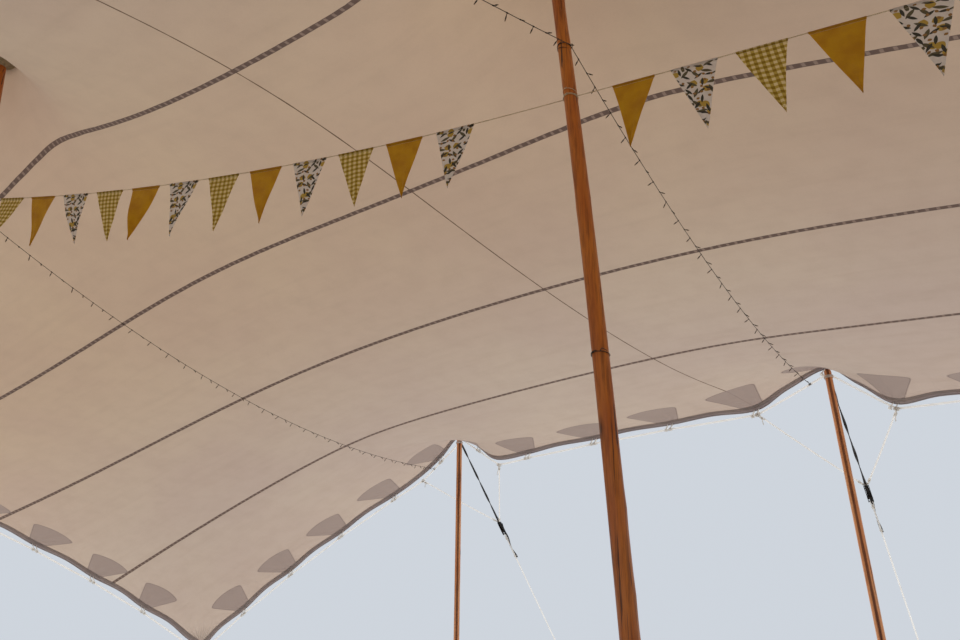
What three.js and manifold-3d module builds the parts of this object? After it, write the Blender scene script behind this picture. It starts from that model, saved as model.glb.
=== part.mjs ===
// Stretch tent for garden events: one elastic canopy of seven sewn strips, held
// up by two timber main poles inside and eight side poles along its edge, and
// pulled out by ropes to stakes in the ground.
// Units are millimetres. +X runs along the length, +Y to the far long side,
// +Z up from level ground. The origin is on the ground under the middle.

import * as THREE from "three";
import Module from "manifold-3d";
import { mergeVertices } from "three/addons/utils/BufferGeometryUtils.js";

const wasm = await Module();
wasm.setup();

// Canopy as cut: seven strips of 1.5 m sewn side by side, 15 m long
const CELL = 375;
const CELLS_LONG = 40;
const CELLS_WIDE = 28;
const CELLS_PER_STRIP = 4;
const FABRIC = 8;
const GAP = 0.3;

// How hard the cloth pulls along its hem, and close around pole 2
const HEM_PULL = 30;
const PEAK_PULL = 2.34;
const PEAK_REACH = 211;

// Poles
const MAIN_POLE_R = 41;
const SIDE_POLE_R = 36;
const POLE_BEND = 22;
const CAP_R = 146;
const CAP_T = 46;
const PEAK_FLAT_R = 160;

// Ropes, straps and stakes
const ROPE_R = 6;
const EDGE_ROPE_R = 8;
const ROPE_DROP = 72;
const ROPE_OUT = 14;
const LACE_CELLS = 2;
const LACE_R = 4;
const LACE_IN = 9;
const STRAP_W = 36;
const STRAP_T = 5;
const STAKE_R = 13;
const STAKE_TALL = 210;

// Strings hung under the cloth: a bunting line and two lines of tiny lights
const LINE_R = 2.5;
const CABLE_R = 3;
const FLAG_W = 247;
const FLAG_H = 439;
const FLAG_T = 3;
const FLAG_PITCH = 336;
const BUNTING_LEFT = { start: 3455, end: 3700, sag: 165, bare: 555, flags: 12 };
const BUNTING_RIGHT = { start: 3455, end: 2530, sag: 45, bare: 220, flags: 16 };
const BUNTING_STEPS = 24;
const LIGHTS_TIED_AT = 3861;
const LIGHTS_ON_POLE_2 = 3580;

// Points of the far half that hold the cloth: the place on the net counted in
// cells from the far left corner, then where that point is held
const HELD_FAR = {
  corner_left: [0, 0, -6670, 4700, 600],
  knot_1: [9, 0, -3350, 5500, 2940],
  head_1: [11, 0, -2480, 5240, 3360],
  knot_2: [13, 0, -1820, 5170, 2910],
  knot_3: [20, 0, 1430, 5370, 3120],
  head_2: [22, 0, 2210, 5290, 3420],
  knot_4: [24, 0, 2740, 5510, 3010],
  knot_5: [31, 0, 5600, 5350, 2820],
  head_3: [33, 0, 6350, 5150, 3200],
  knot_6: [35, 0, 7020, 5220, 2720],
  corner_right: [40, 0, 8150, 4550, 1500],
  knot_7: [0, 12, -7950, 160, 2520],
  head_4: [0, 14, -7780, -500, 2950],
  knot_8: [0, 16, -8020, -1100, 2540],
};
// Peaks over the two main poles: the apex that the net is drawn towards, the
// height of the flat top of the cap under it, and the foot on the ground
const PEAKS = [
  { cell: [25, 15], apex: [1654, 393, 5240], top: 4900, foot: [1918, 502] },
  { cell: [14, 18], apex: [-2951, -1108, 5364], top: 5134, foot: [-2760, -320] },
];
// Each guy of the far half: pole head, how far the foot stands beside it, its
// two knots and its stake
const GUYS_FAR = [
  { head: "head_1", beside: [78, 53], knots: ["knot_1", "knot_2"], stake: [-2080, 7900] },
  { head: "head_2", beside: [0, 0], knots: ["knot_3", "knot_4"], stake: [2360, 7950] },
  { head: "head_3", beside: [0, 0], knots: ["knot_5", "knot_6"], stake: [7050, 7600] },
  { head: "head_4", beside: [0, 0], knots: ["knot_7", "knot_8"], stake: [-10400, -820] },
];
const CORNERS_FAR = [
  { corner: "corner_left", stake: [-7420, 5500] },
  { corner: "corner_right", stake: [9450, 5850] },
];

const COLORS = {
  cloth: 0xc4ab90,
  timber: 0x9a5f2c,
  cap: 0x6f6555,
  rope: 0xe8e2d4,
  strap: 0x26262a,
  stake: 0x83807a,
  cable: 0x2d2621,
  flag: 0x9c6f1e,
};

function material(color, roughness, metalness = 0) {
  return new THREE.MeshStandardMaterial({ color, roughness, metalness });
}

const MATERIALS = {
  cloth: material(COLORS.cloth, 0.9),
  timber: material(COLORS.timber, 0.5),
  cap: material(COLORS.cap, 0.85),
  rope: material(COLORS.rope, 0.85),
  strap: material(COLORS.strap, 0.6),
  stake: material(COLORS.stake, 0.45, 0.9),
  cable: material(COLORS.cable, 0.6),
  flag: material(COLORS.flag, 0.9),
};

const group = new THREE.Group();

function addMesh(name, geometry, mat) {
  const mesh = new THREE.Mesh(geometry, mat);
  mesh.name = name;
  group.add(mesh);
  return mesh;
}

// The near half of the tent is the far half turned by half a turn
function halfTurn(p) {
  return new THREE.Vector3(-p.x, -p.y, p.z);
}

// The net of the cloth
const COLS = CELLS_LONG + 1;
const ROWS = CELLS_WIDE + 1;
const net = [];
const pinned = [];
for (let i = 0; i < COLS; i += 1) {
  for (let j = 0; j < ROWS; j += 1) {
    const x = (i - CELLS_LONG / 2) * CELL;
    const y = (CELLS_WIDE / 2 - j) * CELL;
    net.push(new THREE.Vector3(x, y, 3500));
    pinned.push(false);
  }
}

function at(i, j) {
  return i * ROWS + j;
}

function pin(i, j, point) {
  net[at(i, j)].copy(point);
  pinned[at(i, j)] = true;
}

const held = { far: {}, near: {} };
for (const [name, [i, j, x, y, z]] of Object.entries(HELD_FAR)) {
  const point = new THREE.Vector3(x, y, z);
  held.far[name] = point;
  held.near[name] = halfTurn(point);
  pin(i, j, point);
  pin(CELLS_LONG - i, CELLS_WIDE - j, held.near[name]);
}
for (const peak of PEAKS) {
  pin(peak.cell[0], peak.cell[1], new THREE.Vector3(...peak.apex));
}

// Pull of the thread between two neighbouring points, at its middle
function pull(i, j, alongHem) {
  if (alongHem) {
    return HEM_PULL;
  }
  const [ci, cj] = PEAKS[1].cell;
  const far = Math.hypot(i - ci, j - cj) * CELL / PEAK_REACH;
  return 1 + PEAK_PULL / Math.pow(1 + far * far, 1.5);
}

const threads = net.map(() => []);
function addThread(a, b, strength) {
  threads[a].push([b, strength]);
  threads[b].push([a, strength]);
}
for (let i = 0; i < COLS; i += 1) {
  for (let j = 0; j < ROWS; j += 1) {
    if (i < CELLS_LONG) {
      addThread(at(i, j), at(i + 1, j), pull(i + 0.5, j, j === 0 || j === CELLS_WIDE));
    }
    if (j < CELLS_WIDE) {
      addThread(at(i, j), at(i, j + 1), pull(i, j + 0.5, i === 0 || i === CELLS_LONG));
    }
  }
}

// Let the net settle until every free point is in balance
const OVER = 1.88;
for (let round = 0; round < 900; round += 1) {
  for (let k = 0; k < net.length; k += 1) {
    if (pinned[k]) {
      continue;
    }
    let sum = 0;
    const mean = new THREE.Vector3();
    for (const [other, strength] of threads[k]) {
      mean.addScaledVector(net[other], strength);
      sum += strength;
    }
    mean.divideScalar(sum);
    net[k].lerp(mean, OVER);
  }
}

// Over each pole the cloth is flat where it lies on the cap
for (const peak of PEAKS) {
  net[at(...peak.cell)].z = peak.top;
}

// A closed shell over some columns and rows of the net
class Shell {
  constructor() {
    this.points = [];
    this.faces = [];
  }

  point(v) {
    this.points.push(v.x, v.y, v.z);
    return this.points.length / 3 - 1;
  }

  face(a, b, c) {
    this.faces.push(a, b, c);
  }

  geometry() {
    const geometry = new THREE.BufferGeometry();
    geometry.setAttribute("position", new THREE.Float32BufferAttribute(this.points, 3));
    geometry.setIndex(this.faces);
    geometry.computeVertexNormals();
    return geometry;
  }
}

// A point of a strip, drawn in a little from its sewn edges
function stripPoint(i, j, first, last) {
  const point = net[at(i, j)].clone();
  const inset = GAP / 2 / CELL;
  if (j === first && j > 0) {
    point.lerp(net[at(i, j + 1)], inset);
  }
  if (j === last && j < CELLS_WIDE) {
    point.lerp(net[at(i, j - 1)], inset);
  }
  return point;
}

// Whether a cell of the net has the peak at one of its corners
function touches(peak, i, j) {
  const [ci, cj] = peak.cell;
  return Math.abs(i + 0.5 - ci) < 1 && Math.abs(j + 0.5 - cj) < 1;
}

function stripGeometry(first, last) {
  const shell = new Shell();
  const upper = new Map();
  const lower = new Map();
  const half = new THREE.Vector3(0, 0, FABRIC / 2);
  for (let i = 0; i < COLS; i += 1) {
    for (let j = first; j <= last; j += 1) {
      const point = stripPoint(i, j, first, last);
      upper.set(at(i, j), shell.point(point.clone().add(half)));
      lower.set(at(i, j), shell.point(point.clone().sub(half)));
    }
  }
  const peak = PEAKS.find(({ cell }) => cell[1] > first && cell[1] < last);
  for (let i = 0; i < CELLS_LONG; i += 1) {
    for (let j = first; j < last; j += 1) {
      if (peak && touches(peak, i, j)) {
        continue;
      }
      const a = at(i, j);
      const b = at(i + 1, j);
      const c = at(i + 1, j + 1);
      const d = at(i, j + 1);
      shell.face(upper.get(a), upper.get(d), upper.get(c));
      shell.face(upper.get(a), upper.get(c), upper.get(b));
      shell.face(lower.get(a), lower.get(c), lower.get(d));
      shell.face(lower.get(a), lower.get(b), lower.get(c));
    }
  }
  if (peak) {
    addPeak(shell, peak, upper, lower);
  }
  const rim = [];
  for (let i = 0; i < CELLS_LONG; i += 1) {
    rim.push([at(i, last), at(i + 1, last)]);
    rim.push([at(i + 1, first), at(i, first)]);
  }
  for (let j = first; j < last; j += 1) {
    rim.push([at(0, j), at(0, j + 1)]);
    rim.push([at(CELLS_LONG, j + 1), at(CELLS_LONG, j)]);
  }
  for (const [a, b] of rim) {
    shell.face(upper.get(a), lower.get(a), lower.get(b));
    shell.face(upper.get(a), lower.get(b), upper.get(b));
  }
  return shell.geometry();
}

// Around a pole head the cloth lies flat on the cap, then falls to the net
function addPeak(shell, peak, upper, lower) {
  const [ci, cj] = peak.cell;
  const ring = [[1, 0], [1, -1], [0, -1], [-1, -1], [-1, 0], [-1, 1], [0, 1], [1, 1]];
  const top = net[at(ci, cj)];
  for (const [side, keys] of [[1, upper], [-1, lower]]) {
    const lift = new THREE.Vector3(0, 0, side * FABRIC / 2);
    const middle = keys.get(at(ci, cj));
    const start = net[at(ci + 1, cj)];
    const turn = Math.atan2(start.y - top.y, start.x - top.x);
    const inner = ring.map((_, k) => {
      const angle = turn + (k / ring.length) * 2 * Math.PI;
      const outward = new THREE.Vector3(Math.cos(angle), Math.sin(angle), 0);
      return shell.point(top.clone().addScaledVector(outward, PEAK_FLAT_R).add(lift));
    });
    ring.forEach(([di, dj], k) => {
      const next = (k + 1) % ring.length;
      const [ei, ej] = ring[next];
      const outA = keys.get(at(ci + di, cj + dj));
      const outB = keys.get(at(ci + ei, cj + ej));
      const faces = [
        [outA, outB, inner[next]],
        [outA, inner[next], inner[k]],
        [inner[k], inner[next], middle],
      ];
      for (const [a, b, c] of faces) {
        if (side > 0) {
          shell.face(a, b, c);
        } else {
          shell.face(a, c, b);
        }
      }
    });
  }
}

for (let k = 0; k < CELLS_WIDE / CELLS_PER_STRIP; k += 1) {
  const first = k * CELLS_PER_STRIP;
  addMesh(`canopy_strip_${k + 1}`, stripGeometry(first, first + CELLS_PER_STRIP), MATERIALS.cloth);
}

// Underside of the cloth above a point near one place of the net
function clothAbove(x, y, ci, cj) {
  let best = Infinity;
  for (let i = Math.max(0, ci - 2); i < Math.min(CELLS_LONG, ci + 2); i += 1) {
    for (let j = Math.max(0, cj - 2); j < Math.min(CELLS_WIDE, cj + 2); j += 1) {
      const a = net[at(i, j)];
      const c = net[at(i + 1, j + 1)];
      for (const b of [net[at(i + 1, j)], net[at(i, j + 1)]]) {
        const det = (b.x - a.x) * (c.y - a.y) - (c.x - a.x) * (b.y - a.y);
        const u = ((x - a.x) * (c.y - a.y) - (c.x - a.x) * (y - a.y)) / det;
        const v = ((b.x - a.x) * (y - a.y) - (x - a.x) * (b.y - a.y)) / det;
        if (u >= -1e-6 && v >= -1e-6 && u + v <= 1 + 1e-6) {
          best = Math.min(best, a.z + u * (b.z - a.z) + v * (c.z - a.z));
        }
      }
    }
  }
  return best - FABRIC / 2;
}

// Lowest place of the cloth over a level ring
function lowestAbove(centre, radius, sides, ci, cj) {
  let lowest = Infinity;
  for (let k = 0; k < sides; k += 1) {
    const angle = (k / sides) * 2 * Math.PI;
    const x = centre.x + radius * Math.cos(angle);
    const y = centre.y + radius * Math.sin(angle);
    lowest = Math.min(lowest, clothAbove(x, y, ci, cj));
  }
  return lowest;
}

// A post through level rings, so a leaning post still stands flat
function postGeometry(rings, sides) {
  const shell = new Shell();
  const rows = rings.map(([x, y, z, r]) => {
    const row = [];
    for (let k = 0; k < sides; k += 1) {
      const angle = (k / sides) * 2 * Math.PI;
      row.push(shell.point(new THREE.Vector3(x + r * Math.cos(angle), y + r * Math.sin(angle), z)));
    }
    return row;
  });
  for (let n = 0; n + 1 < rows.length; n += 1) {
    for (let k = 0; k < sides; k += 1) {
      const next = (k + 1) % sides;
      shell.face(rows[n][k], rows[n][next], rows[n + 1][next]);
      shell.face(rows[n][k], rows[n + 1][next], rows[n + 1][k]);
    }
  }
  const last = rows[rows.length - 1];
  for (let k = 1; k + 1 < sides; k += 1) {
    shell.face(rows[0][0], rows[0][k + 1], rows[0][k]);
    shell.face(last[0], last[k], last[k + 1]);
  }
  return shell.geometry();
}

// Main poles: long peeled trunks that lean and bend a little, under broad caps
const MAIN_POLE_SIDES = 16;
const SIDE_POLE_SIDES = 12;

function mainPoleTop(peak) {
  return peak.top - FABRIC / 2 - CAP_T - 2 * GAP;
}

function mainPoleAt(peak, z) {
  const [tx, ty] = peak.apex;
  const [fx, fy] = peak.foot;
  const t = z / mainPoleTop(peak);
  const bend = POLE_BEND * Math.sin(Math.PI * t);
  return new THREE.Vector3(fx + (tx - fx) * t + bend, fy + (ty - fy) * t, z);
}

function mainPoleRadius(peak, z) {
  return MAIN_POLE_R + 2 - 4 * z / mainPoleTop(peak);
}

PEAKS.forEach((peak, n) => {
  const [tx, ty] = peak.apex;
  const capTop = peak.top - FABRIC / 2 - GAP;
  const rings = [];
  for (let k = 0; k <= 6; k += 1) {
    const spot = mainPoleAt(peak, mainPoleTop(peak) * k / 6);
    rings.push([spot.x, spot.y, spot.z, mainPoleRadius(peak, spot.z)]);
  }
  addMesh(`main_pole_${n + 1}`, postGeometry(rings, MAIN_POLE_SIDES), MATERIALS.timber);
  const cap = [
    [tx, ty, capTop - CAP_T, 70],
    [tx, ty, capTop - CAP_T + 14, CAP_R - 8],
    [tx, ty, capTop - CAP_T + 26, CAP_R],
    [tx, ty, capTop - 6, CAP_R],
    [tx, ty, capTop, CAP_R - 6],
  ];
  addMesh(`main_pole_cap_${n + 1}`, postGeometry(cap, 24), MATERIALS.cap);
});

// Outward direction of the hem at a place on its edge
function outwardAt(i, j) {
  if (j === 0 || j === CELLS_WIDE) {
    const a = net[at(Math.max(i - 1, 0), j)];
    const b = net[at(Math.min(i + 1, CELLS_LONG), j)];
    const out = new THREE.Vector3(-(b.y - a.y), b.x - a.x, 0).normalize();
    return j === 0 ? out : out.negate();
  }
  const a = net[at(i, j - 1)];
  const b = net[at(i, j + 1)];
  const out = new THREE.Vector3(b.y - a.y, -(b.x - a.x), 0).normalize();
  return i === 0 ? out : out.negate();
}

// Side poles stand just inside the hem, with their rounded heads in the cloth
function sidePole(name, i, j, beside) {
  const hem = net[at(i, j)];
  const out = outwardAt(i, j);
  const axis = hem.clone().addScaledVector(out, -SIDE_POLE_R - 10);
  const head = [
    [0, SIDE_POLE_R],
    [18, SIDE_POLE_R - 3],
    [32, SIDE_POLE_R - 12],
    [38, SIDE_POLE_R - 24],
  ];
  const room = head.map(([h, r]) => lowestAbove(axis, r, SIDE_POLE_SIDES, i, j) - h);
  const shoulder = Math.min(...room) - GAP;
  const foot = axis.clone().add(beside);
  const rings = [[foot.x, foot.y, 0, SIDE_POLE_R - 2], [foot.x, foot.y, 6, SIDE_POLE_R]];
  for (const [h, r] of head) {
    rings.push([axis.x, axis.y, shoulder + h, r]);
  }
  addMesh(name, postGeometry(rings, SIDE_POLE_SIDES), MATERIALS.timber);
  return { head: axis, foot, shoulder };
}

// Where the axis of a side pole is at some height
function sidePoleAt({ head, foot, shoulder }, z) {
  return foot.clone().lerp(head, z / shoulder).setZ(z);
}

// Joins closed geometries into one solid
function toManifold(geometry) {
  const bare = geometry.clone();
  bare.deleteAttribute("normal");
  bare.deleteAttribute("uv");
  const merged = mergeVertices(bare, 1e-4);
  return new wasm.Manifold(new wasm.Mesh({
    numProp: 3,
    vertProperties: new Float32Array(merged.attributes.position.array),
    triVerts: new Uint32Array(merged.index.array),
  }));
}

function fromManifold(solid) {
  const mesh = solid.getMesh();
  const geometry = new THREE.BufferGeometry();
  const points = [];
  for (let k = 0; k < mesh.numVert; k += 1) {
    points.push(...mesh.vertProperties.slice(k * mesh.numProp, k * mesh.numProp + 3));
  }
  geometry.setAttribute("position", new THREE.Float32BufferAttribute(points, 3));
  geometry.setIndex(Array.from(mesh.triVerts));
  geometry.computeVertexNormals();
  return geometry;
}

function join(geometries) {
  let solid = toManifold(geometries[0]);
  for (const geometry of geometries.slice(1)) {
    solid = solid.add(toManifold(geometry));
  }
  return fromManifold(solid);
}

// A rope that runs straight from point to point
function ropeGeometry(points, radius, sides = 8) {
  const shell = new Shell();
  const up = new THREE.Vector3(0, 0, 1);
  const rows = points.map((point, k) => {
    const before = points[Math.max(k - 1, 0)];
    const after = points[Math.min(k + 1, points.length - 1)];
    const along = after.clone().sub(before).normalize();
    const side = new THREE.Vector3().crossVectors(up, along).normalize();
    const over = new THREE.Vector3().crossVectors(along, side);
    const row = [];
    for (let s = 0; s < sides; s += 1) {
      const angle = (s / sides) * 2 * Math.PI;
      const spot = point.clone().addScaledVector(side, radius * Math.cos(angle));
      row.push(shell.point(spot.addScaledVector(over, radius * Math.sin(angle))));
    }
    return row;
  });
  for (let n = 0; n + 1 < rows.length; n += 1) {
    for (let s = 0; s < sides; s += 1) {
      const next = (s + 1) % sides;
      shell.face(rows[n][s], rows[n][next], rows[n + 1][next]);
      shell.face(rows[n][s], rows[n + 1][next], rows[n + 1][s]);
    }
  }
  const last = rows[rows.length - 1];
  for (let s = 1; s + 1 < sides; s += 1) {
    shell.face(rows[0][0], rows[0][s + 1], rows[0][s]);
    shell.face(last[0], last[s], last[s + 1]);
  }
  return shell.geometry();
}

// A straight round bar between two points
function rodGeometry(from, to, radius, sides = 8) {
  const length = from.distanceTo(to);
  const geometry = new THREE.CylinderGeometry(radius, radius, length, sides);
  const along = to.clone().sub(from).normalize();
  const turn = new THREE.Quaternion().setFromUnitVectors(new THREE.Vector3(0, 1, 0), along);
  geometry.applyQuaternion(turn);
  const middle = from.clone().lerp(to, 0.5);
  geometry.translate(middle.x, middle.y, middle.z);
  return geometry;
}

// A ring whose axis points along a direction
function ringGeometry(centre, axis, inner, thick, sides = 10) {
  const geometry = new THREE.TorusGeometry(inner + thick, thick, 5, sides);
  const turn = new THREE.Quaternion().setFromUnitVectors(new THREE.Vector3(0, 0, 1), axis);
  geometry.applyQuaternion(turn);
  geometry.translate(centre.x, centre.y, centre.z);
  return geometry;
}

// A block with its length along one direction and its width level
function blockGeometry(from, to, width, thick) {
  const along = to.clone().sub(from);
  const geometry = new THREE.BoxGeometry(width, thick, along.length());
  along.normalize();
  const side = new THREE.Vector3(0, 0, 1).cross(along).normalize();
  const over = along.clone().cross(side);
  geometry.applyMatrix4(new THREE.Matrix4().makeBasis(side, over, along));
  const middle = from.clone().lerp(to, 0.5);
  geometry.translate(middle.x, middle.y, middle.z);
  return geometry;
}

// The edge rope follows the hem all the way round, a hand's width below it
function edgeRopePoint(i, j) {
  const point = net[at(i, j)].clone();
  const corner = (i === 0 || i === CELLS_LONG) && (j === 0 || j === CELLS_WIDE);
  const out = corner
    ? new THREE.Vector3(i === 0 ? -0.7 : 0.7, j === 0 ? 0.7 : -0.7, 0)
    : outwardAt(i, j);
  point.addScaledVector(out, ROPE_OUT);
  point.z -= ROPE_DROP;
  return point;
}

const edge = [];
for (let i = 0; i < CELLS_LONG; i += 1) {
  edge.push([i, 0]);
}
for (let j = 0; j < CELLS_WIDE; j += 1) {
  edge.push([CELLS_LONG, j]);
}
for (let i = CELLS_LONG; i > 0; i -= 1) {
  edge.push([i, CELLS_WIDE]);
}
for (let j = CELLS_WIDE; j > 0; j -= 1) {
  edge.push([0, j]);
}

function closedRopeGeometry(points, radius, sides) {
  const shell = new Shell();
  const up = new THREE.Vector3(0, 0, 1);
  const count = points.length;
  const rows = points.map((point, k) => {
    const along = points[(k + 1) % count].clone().sub(points[(k + count - 1) % count]).normalize();
    const side = new THREE.Vector3().crossVectors(up, along).normalize();
    const over = new THREE.Vector3().crossVectors(along, side);
    const row = [];
    for (let s = 0; s < sides; s += 1) {
      const angle = (s / sides) * 2 * Math.PI;
      const spot = point.clone().addScaledVector(side, radius * Math.cos(angle));
      row.push(shell.point(spot.addScaledVector(over, radius * Math.sin(angle))));
    }
    return row;
  });
  for (let n = 0; n < count; n += 1) {
    const row = rows[n];
    const after = rows[(n + 1) % count];
    for (let s = 0; s < sides; s += 1) {
      const next = (s + 1) % sides;
      shell.face(row[s], row[next], after[next]);
      shell.face(row[s], after[next], after[s]);
    }
  }
  return shell.geometry();
}

// Everything that pulls on the edge rope is tied to it, so it all joins up
const edgeRopeParts = [closedRopeGeometry(edge.map(([i, j]) => edgeRopePoint(i, j)), EDGE_ROPE_R, 6)];

// Short cords lace it to the hem at every second point of the net
edge.forEach(([i, j]) => {
  if (i % LACE_CELLS !== 0 || j % LACE_CELLS !== 0) {
    return;
  }
  const low = edgeRopePoint(i, j);
  const inward = low.clone().sub(net[at(i, j)]).setZ(0).normalize().multiplyScalar(-LACE_IN);
  const high = net[at(i, j)].clone().add(inward);
  const top = lowestAbove(high, LACE_R, 6, i, j) - GAP;
  edgeRopeParts.push(postGeometry([[low.x, low.y, low.z, LACE_R], [high.x, high.y, top, LACE_R]], 6));
});

function stakeAt(name, x, y) {
  const rings = [
    [x, y, 0, STAKE_R],
    [x, y, STAKE_TALL - 16, STAKE_R],
    [x, y, STAKE_TALL - 14, STAKE_R + 11],
    [x, y, STAKE_TALL - 3, STAKE_R + 11],
    [x, y, STAKE_TALL, STAKE_R + 7],
  ];
  addMesh(name, postGeometry(rings, 8), MATERIALS.stake);
}

// A rope that ends in a loop round its stake
function stakedRope(from, x, y) {
  const centre = new THREE.Vector3(x, y, STAKE_TALL * 0.55);
  const loop = ringGeometry(centre, new THREE.Vector3(0, 0, 1), STAKE_R + GAP, 5, 9);
  const toward = from.clone().sub(centre);
  toward.z = 0;
  const end = centre.clone().addScaledVector(toward.normalize(), STAKE_R + 7.2);
  return [rodGeometry(from, end, ROPE_R, 6), loop];
}

const sidePoles = {};
let poleCount = 0;
let stakeCount = 0;
for (const side of ["far", "near"]) {
  const turned = side === "near";
  for (const guy of GUYS_FAR) {
    poleCount += 1;
    stakeCount += 1;
    const [ci, cj] = HELD_FAR[guy.head];
    const i = turned ? CELLS_LONG - ci : ci;
    const j = turned ? CELLS_WIDE - cj : cj;
    const beside = new THREE.Vector3(...guy.beside, 0).multiplyScalar(turned ? -1 : 1);
    const pole = sidePole(`side_pole_${poleCount}`, i, j, beside);
    sidePoles[`${side} ${guy.head}`] = pole;
    const [sx, sy] = guy.stake.map((v) => (turned ? -v : v));

    // The strap leaves the pole just under the edge rope
    const ground = new THREE.Vector3(sx, sy, STAKE_TALL * 0.55);
    const start = sidePoleAt(pole, pole.head.z - ROPE_DROP - 62);
    const out = ground.clone().sub(start).setZ(0).normalize();
    start.addScaledVector(out, SIDE_POLE_R);
    const along = ground.clone().sub(start).normalize();
    start.addScaledVector(along, 3);
    const length = start.distanceTo(ground);
    const ratchetTop = start.clone().addScaledVector(along, length * 0.3);
    const ratchetEnd = ratchetTop.clone().addScaledVector(along, 230);
    const strap = blockGeometry(start, ratchetTop.clone().addScaledVector(along, 5), STRAP_W, STRAP_T);
    const ratchet = blockGeometry(ratchetTop, ratchetEnd, STRAP_W + 16, 42);
    addMesh(`guy_strap_${poleCount}`, join([strap, ratchet]), MATERIALS.strap);

    const tailStart = ratchetEnd.clone().addScaledVector(along, GAP);
    addMesh(`guy_rope_${poleCount}`, join(stakedRope(tailStart, sx, sy)), MATERIALS.rope);
    stakeAt(`stake_${stakeCount}`, sx, sy);

    // The two side ropes meet in a ring that the strap runs through
    const ringInner = Math.hypot(STRAP_W, STRAP_T) / 2 + 3 * GAP;
    const ringCentre = ratchetTop.clone().addScaledVector(along, -14);
    edgeRopeParts.push(ringGeometry(ringCentre, along, ringInner, 5, 8));
    for (const knot of guy.knots) {
      const [ki, kj] = HELD_FAR[knot];
      const tie = turned
        ? edgeRopePoint(CELLS_LONG - ki, CELLS_WIDE - kj)
        : edgeRopePoint(ki, kj);
      const toKnot = tie.clone().sub(ringCentre);
      toKnot.addScaledVector(along, -toKnot.dot(along)).normalize();
      const end = ringCentre.clone().addScaledVector(toKnot, ringInner + 5.5);
      edgeRopeParts.push(rodGeometry(tie, end, ROPE_R - 1, 6));
    }
  }
  for (const { corner, stake } of CORNERS_FAR) {
    stakeCount += 1;
    const [ci, cj] = HELD_FAR[corner];
    const tie = turned
      ? edgeRopePoint(CELLS_LONG - ci, CELLS_WIDE - cj)
      : edgeRopePoint(ci, cj);
    const [sx, sy] = stake.map((v) => (turned ? -v : v));
    edgeRopeParts.push(...stakedRope(tie, sx, sy));
    stakeAt(`stake_${stakeCount}`, sx, sy);
  }
}
addMesh("edge_rope", join(edgeRopeParts), MATERIALS.rope);

// Points of a string that hangs a little between its two ends
function hangingLine(from, to, sag, steps) {
  const points = [];
  for (let k = 0; k <= steps; k += 1) {
    const t = k / steps;
    const point = from.clone().lerp(to, t);
    point.z -= 4 * sag * t * (1 - t);
    points.push(point);
  }
  return points;
}

// A spot just off the skin of a many-sided post, on the side that faces a point
function spotOnPost(axis, radius, sides, toward, off = 2 * GAP) {
  const way = toward.clone().sub(axis);
  way.z = 0;
  const facet = 2 * Math.PI / sides;
  const turn = Math.atan2(way.y, way.x) + 2 * Math.PI;
  const skin = radius * Math.cos(facet / 2) / Math.cos((turn % facet) - facet / 2);
  return axis.clone().addScaledVector(way.normalize(), skin + off);
}

function spotOnMainPole(peak, z, toward, off) {
  return spotOnPost(mainPoleAt(peak, z), mainPoleRadius(peak, z), MAIN_POLE_SIDES, toward, off);
}

function flagGeometry(left, right) {
  const along = right.clone().sub(left).normalize();
  const across = new THREE.Vector3(0, 0, 1).cross(along).normalize();
  const tip = left.clone().lerp(right, 0.5);
  tip.z -= FLAG_H;
  const shape = new THREE.Shape();
  const down = new THREE.Vector3().crossVectors(along, across).negate();
  const flat = (p) => {
    const offset = p.clone().sub(left);
    return new THREE.Vector2(offset.dot(along), -offset.dot(down));
  };
  const corners = [left, right, tip].map(flat);
  shape.moveTo(corners[0].x, corners[0].y);
  shape.lineTo(corners[1].x, corners[1].y);
  shape.lineTo(corners[2].x, corners[2].y);
  shape.closePath();
  const geometry = new THREE.ExtrudeGeometry(shape, {
    depth: FLAG_T,
    bevelEnabled: false,
  });
  geometry.translate(0, 0, -FLAG_T / 2);
  const up = down.clone().negate();
  const face = new THREE.Vector3().crossVectors(along, up);
  geometry.applyMatrix4(new THREE.Matrix4().makeBasis(along, up, face));
  geometry.translate(left.x, left.y, left.z);
  return geometry;
}

function buntingGeometry(from, to, span) {
  const line = hangingLine(from, to, span.sag, BUNTING_STEPS);
  const parts = [ropeGeometry(line, LINE_R, 6)];
  const length = from.distanceTo(to);
  const spot = (distance) => {
    const t = distance / length * BUNTING_STEPS;
    const k = Math.min(Math.floor(t), BUNTING_STEPS - 1);
    return line[k].clone().lerp(line[k + 1], t - k);
  };
  for (let n = 0; n < span.flags; n += 1) {
    const start = span.bare + n * FLAG_PITCH;
    parts.push(flagGeometry(spot(start), spot(start + FLAG_W)));
  }
  return join(parts);
}

const [poleOne, poleTwo] = PEAKS;
const tieOne = mainPoleAt(poleOne, BUNTING_LEFT.start);
const tieTwo = mainPoleAt(poleTwo, BUNTING_LEFT.end);
const tieRight = sidePoleAt(sidePoles["near head_4"], BUNTING_RIGHT.end);
addMesh(
  "bunting_left",
  buntingGeometry(
    spotOnMainPole(poleOne, BUNTING_LEFT.start, tieTwo),
    spotOnMainPole(poleTwo, BUNTING_LEFT.end, tieOne),
    BUNTING_LEFT,
  ),
  MATERIALS.flag,
);
addMesh(
  "bunting_right",
  buntingGeometry(
    spotOnMainPole(poleOne, BUNTING_RIGHT.start, tieRight),
    spotOnPost(tieRight, SIDE_POLE_R, SIDE_POLE_SIDES, tieOne),
    BUNTING_RIGHT,
  ),
  MATERIALS.flag,
);

// A string end at the inner side of the edge rope, on its straight run from one
// point of the net to the next
function tiedToEdge(i, j, off) {
  const before = Math.floor(i);
  const after = Math.min(before + 1, CELLS_LONG);
  const point = edgeRopePoint(before, j).lerp(edgeRopePoint(after, j), i - before);
  const out = outwardAt(before, j).lerp(outwardAt(after, j), i - before).normalize();
  return point.addScaledVector(out, -(EDGE_ROPE_R + off));
}

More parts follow.
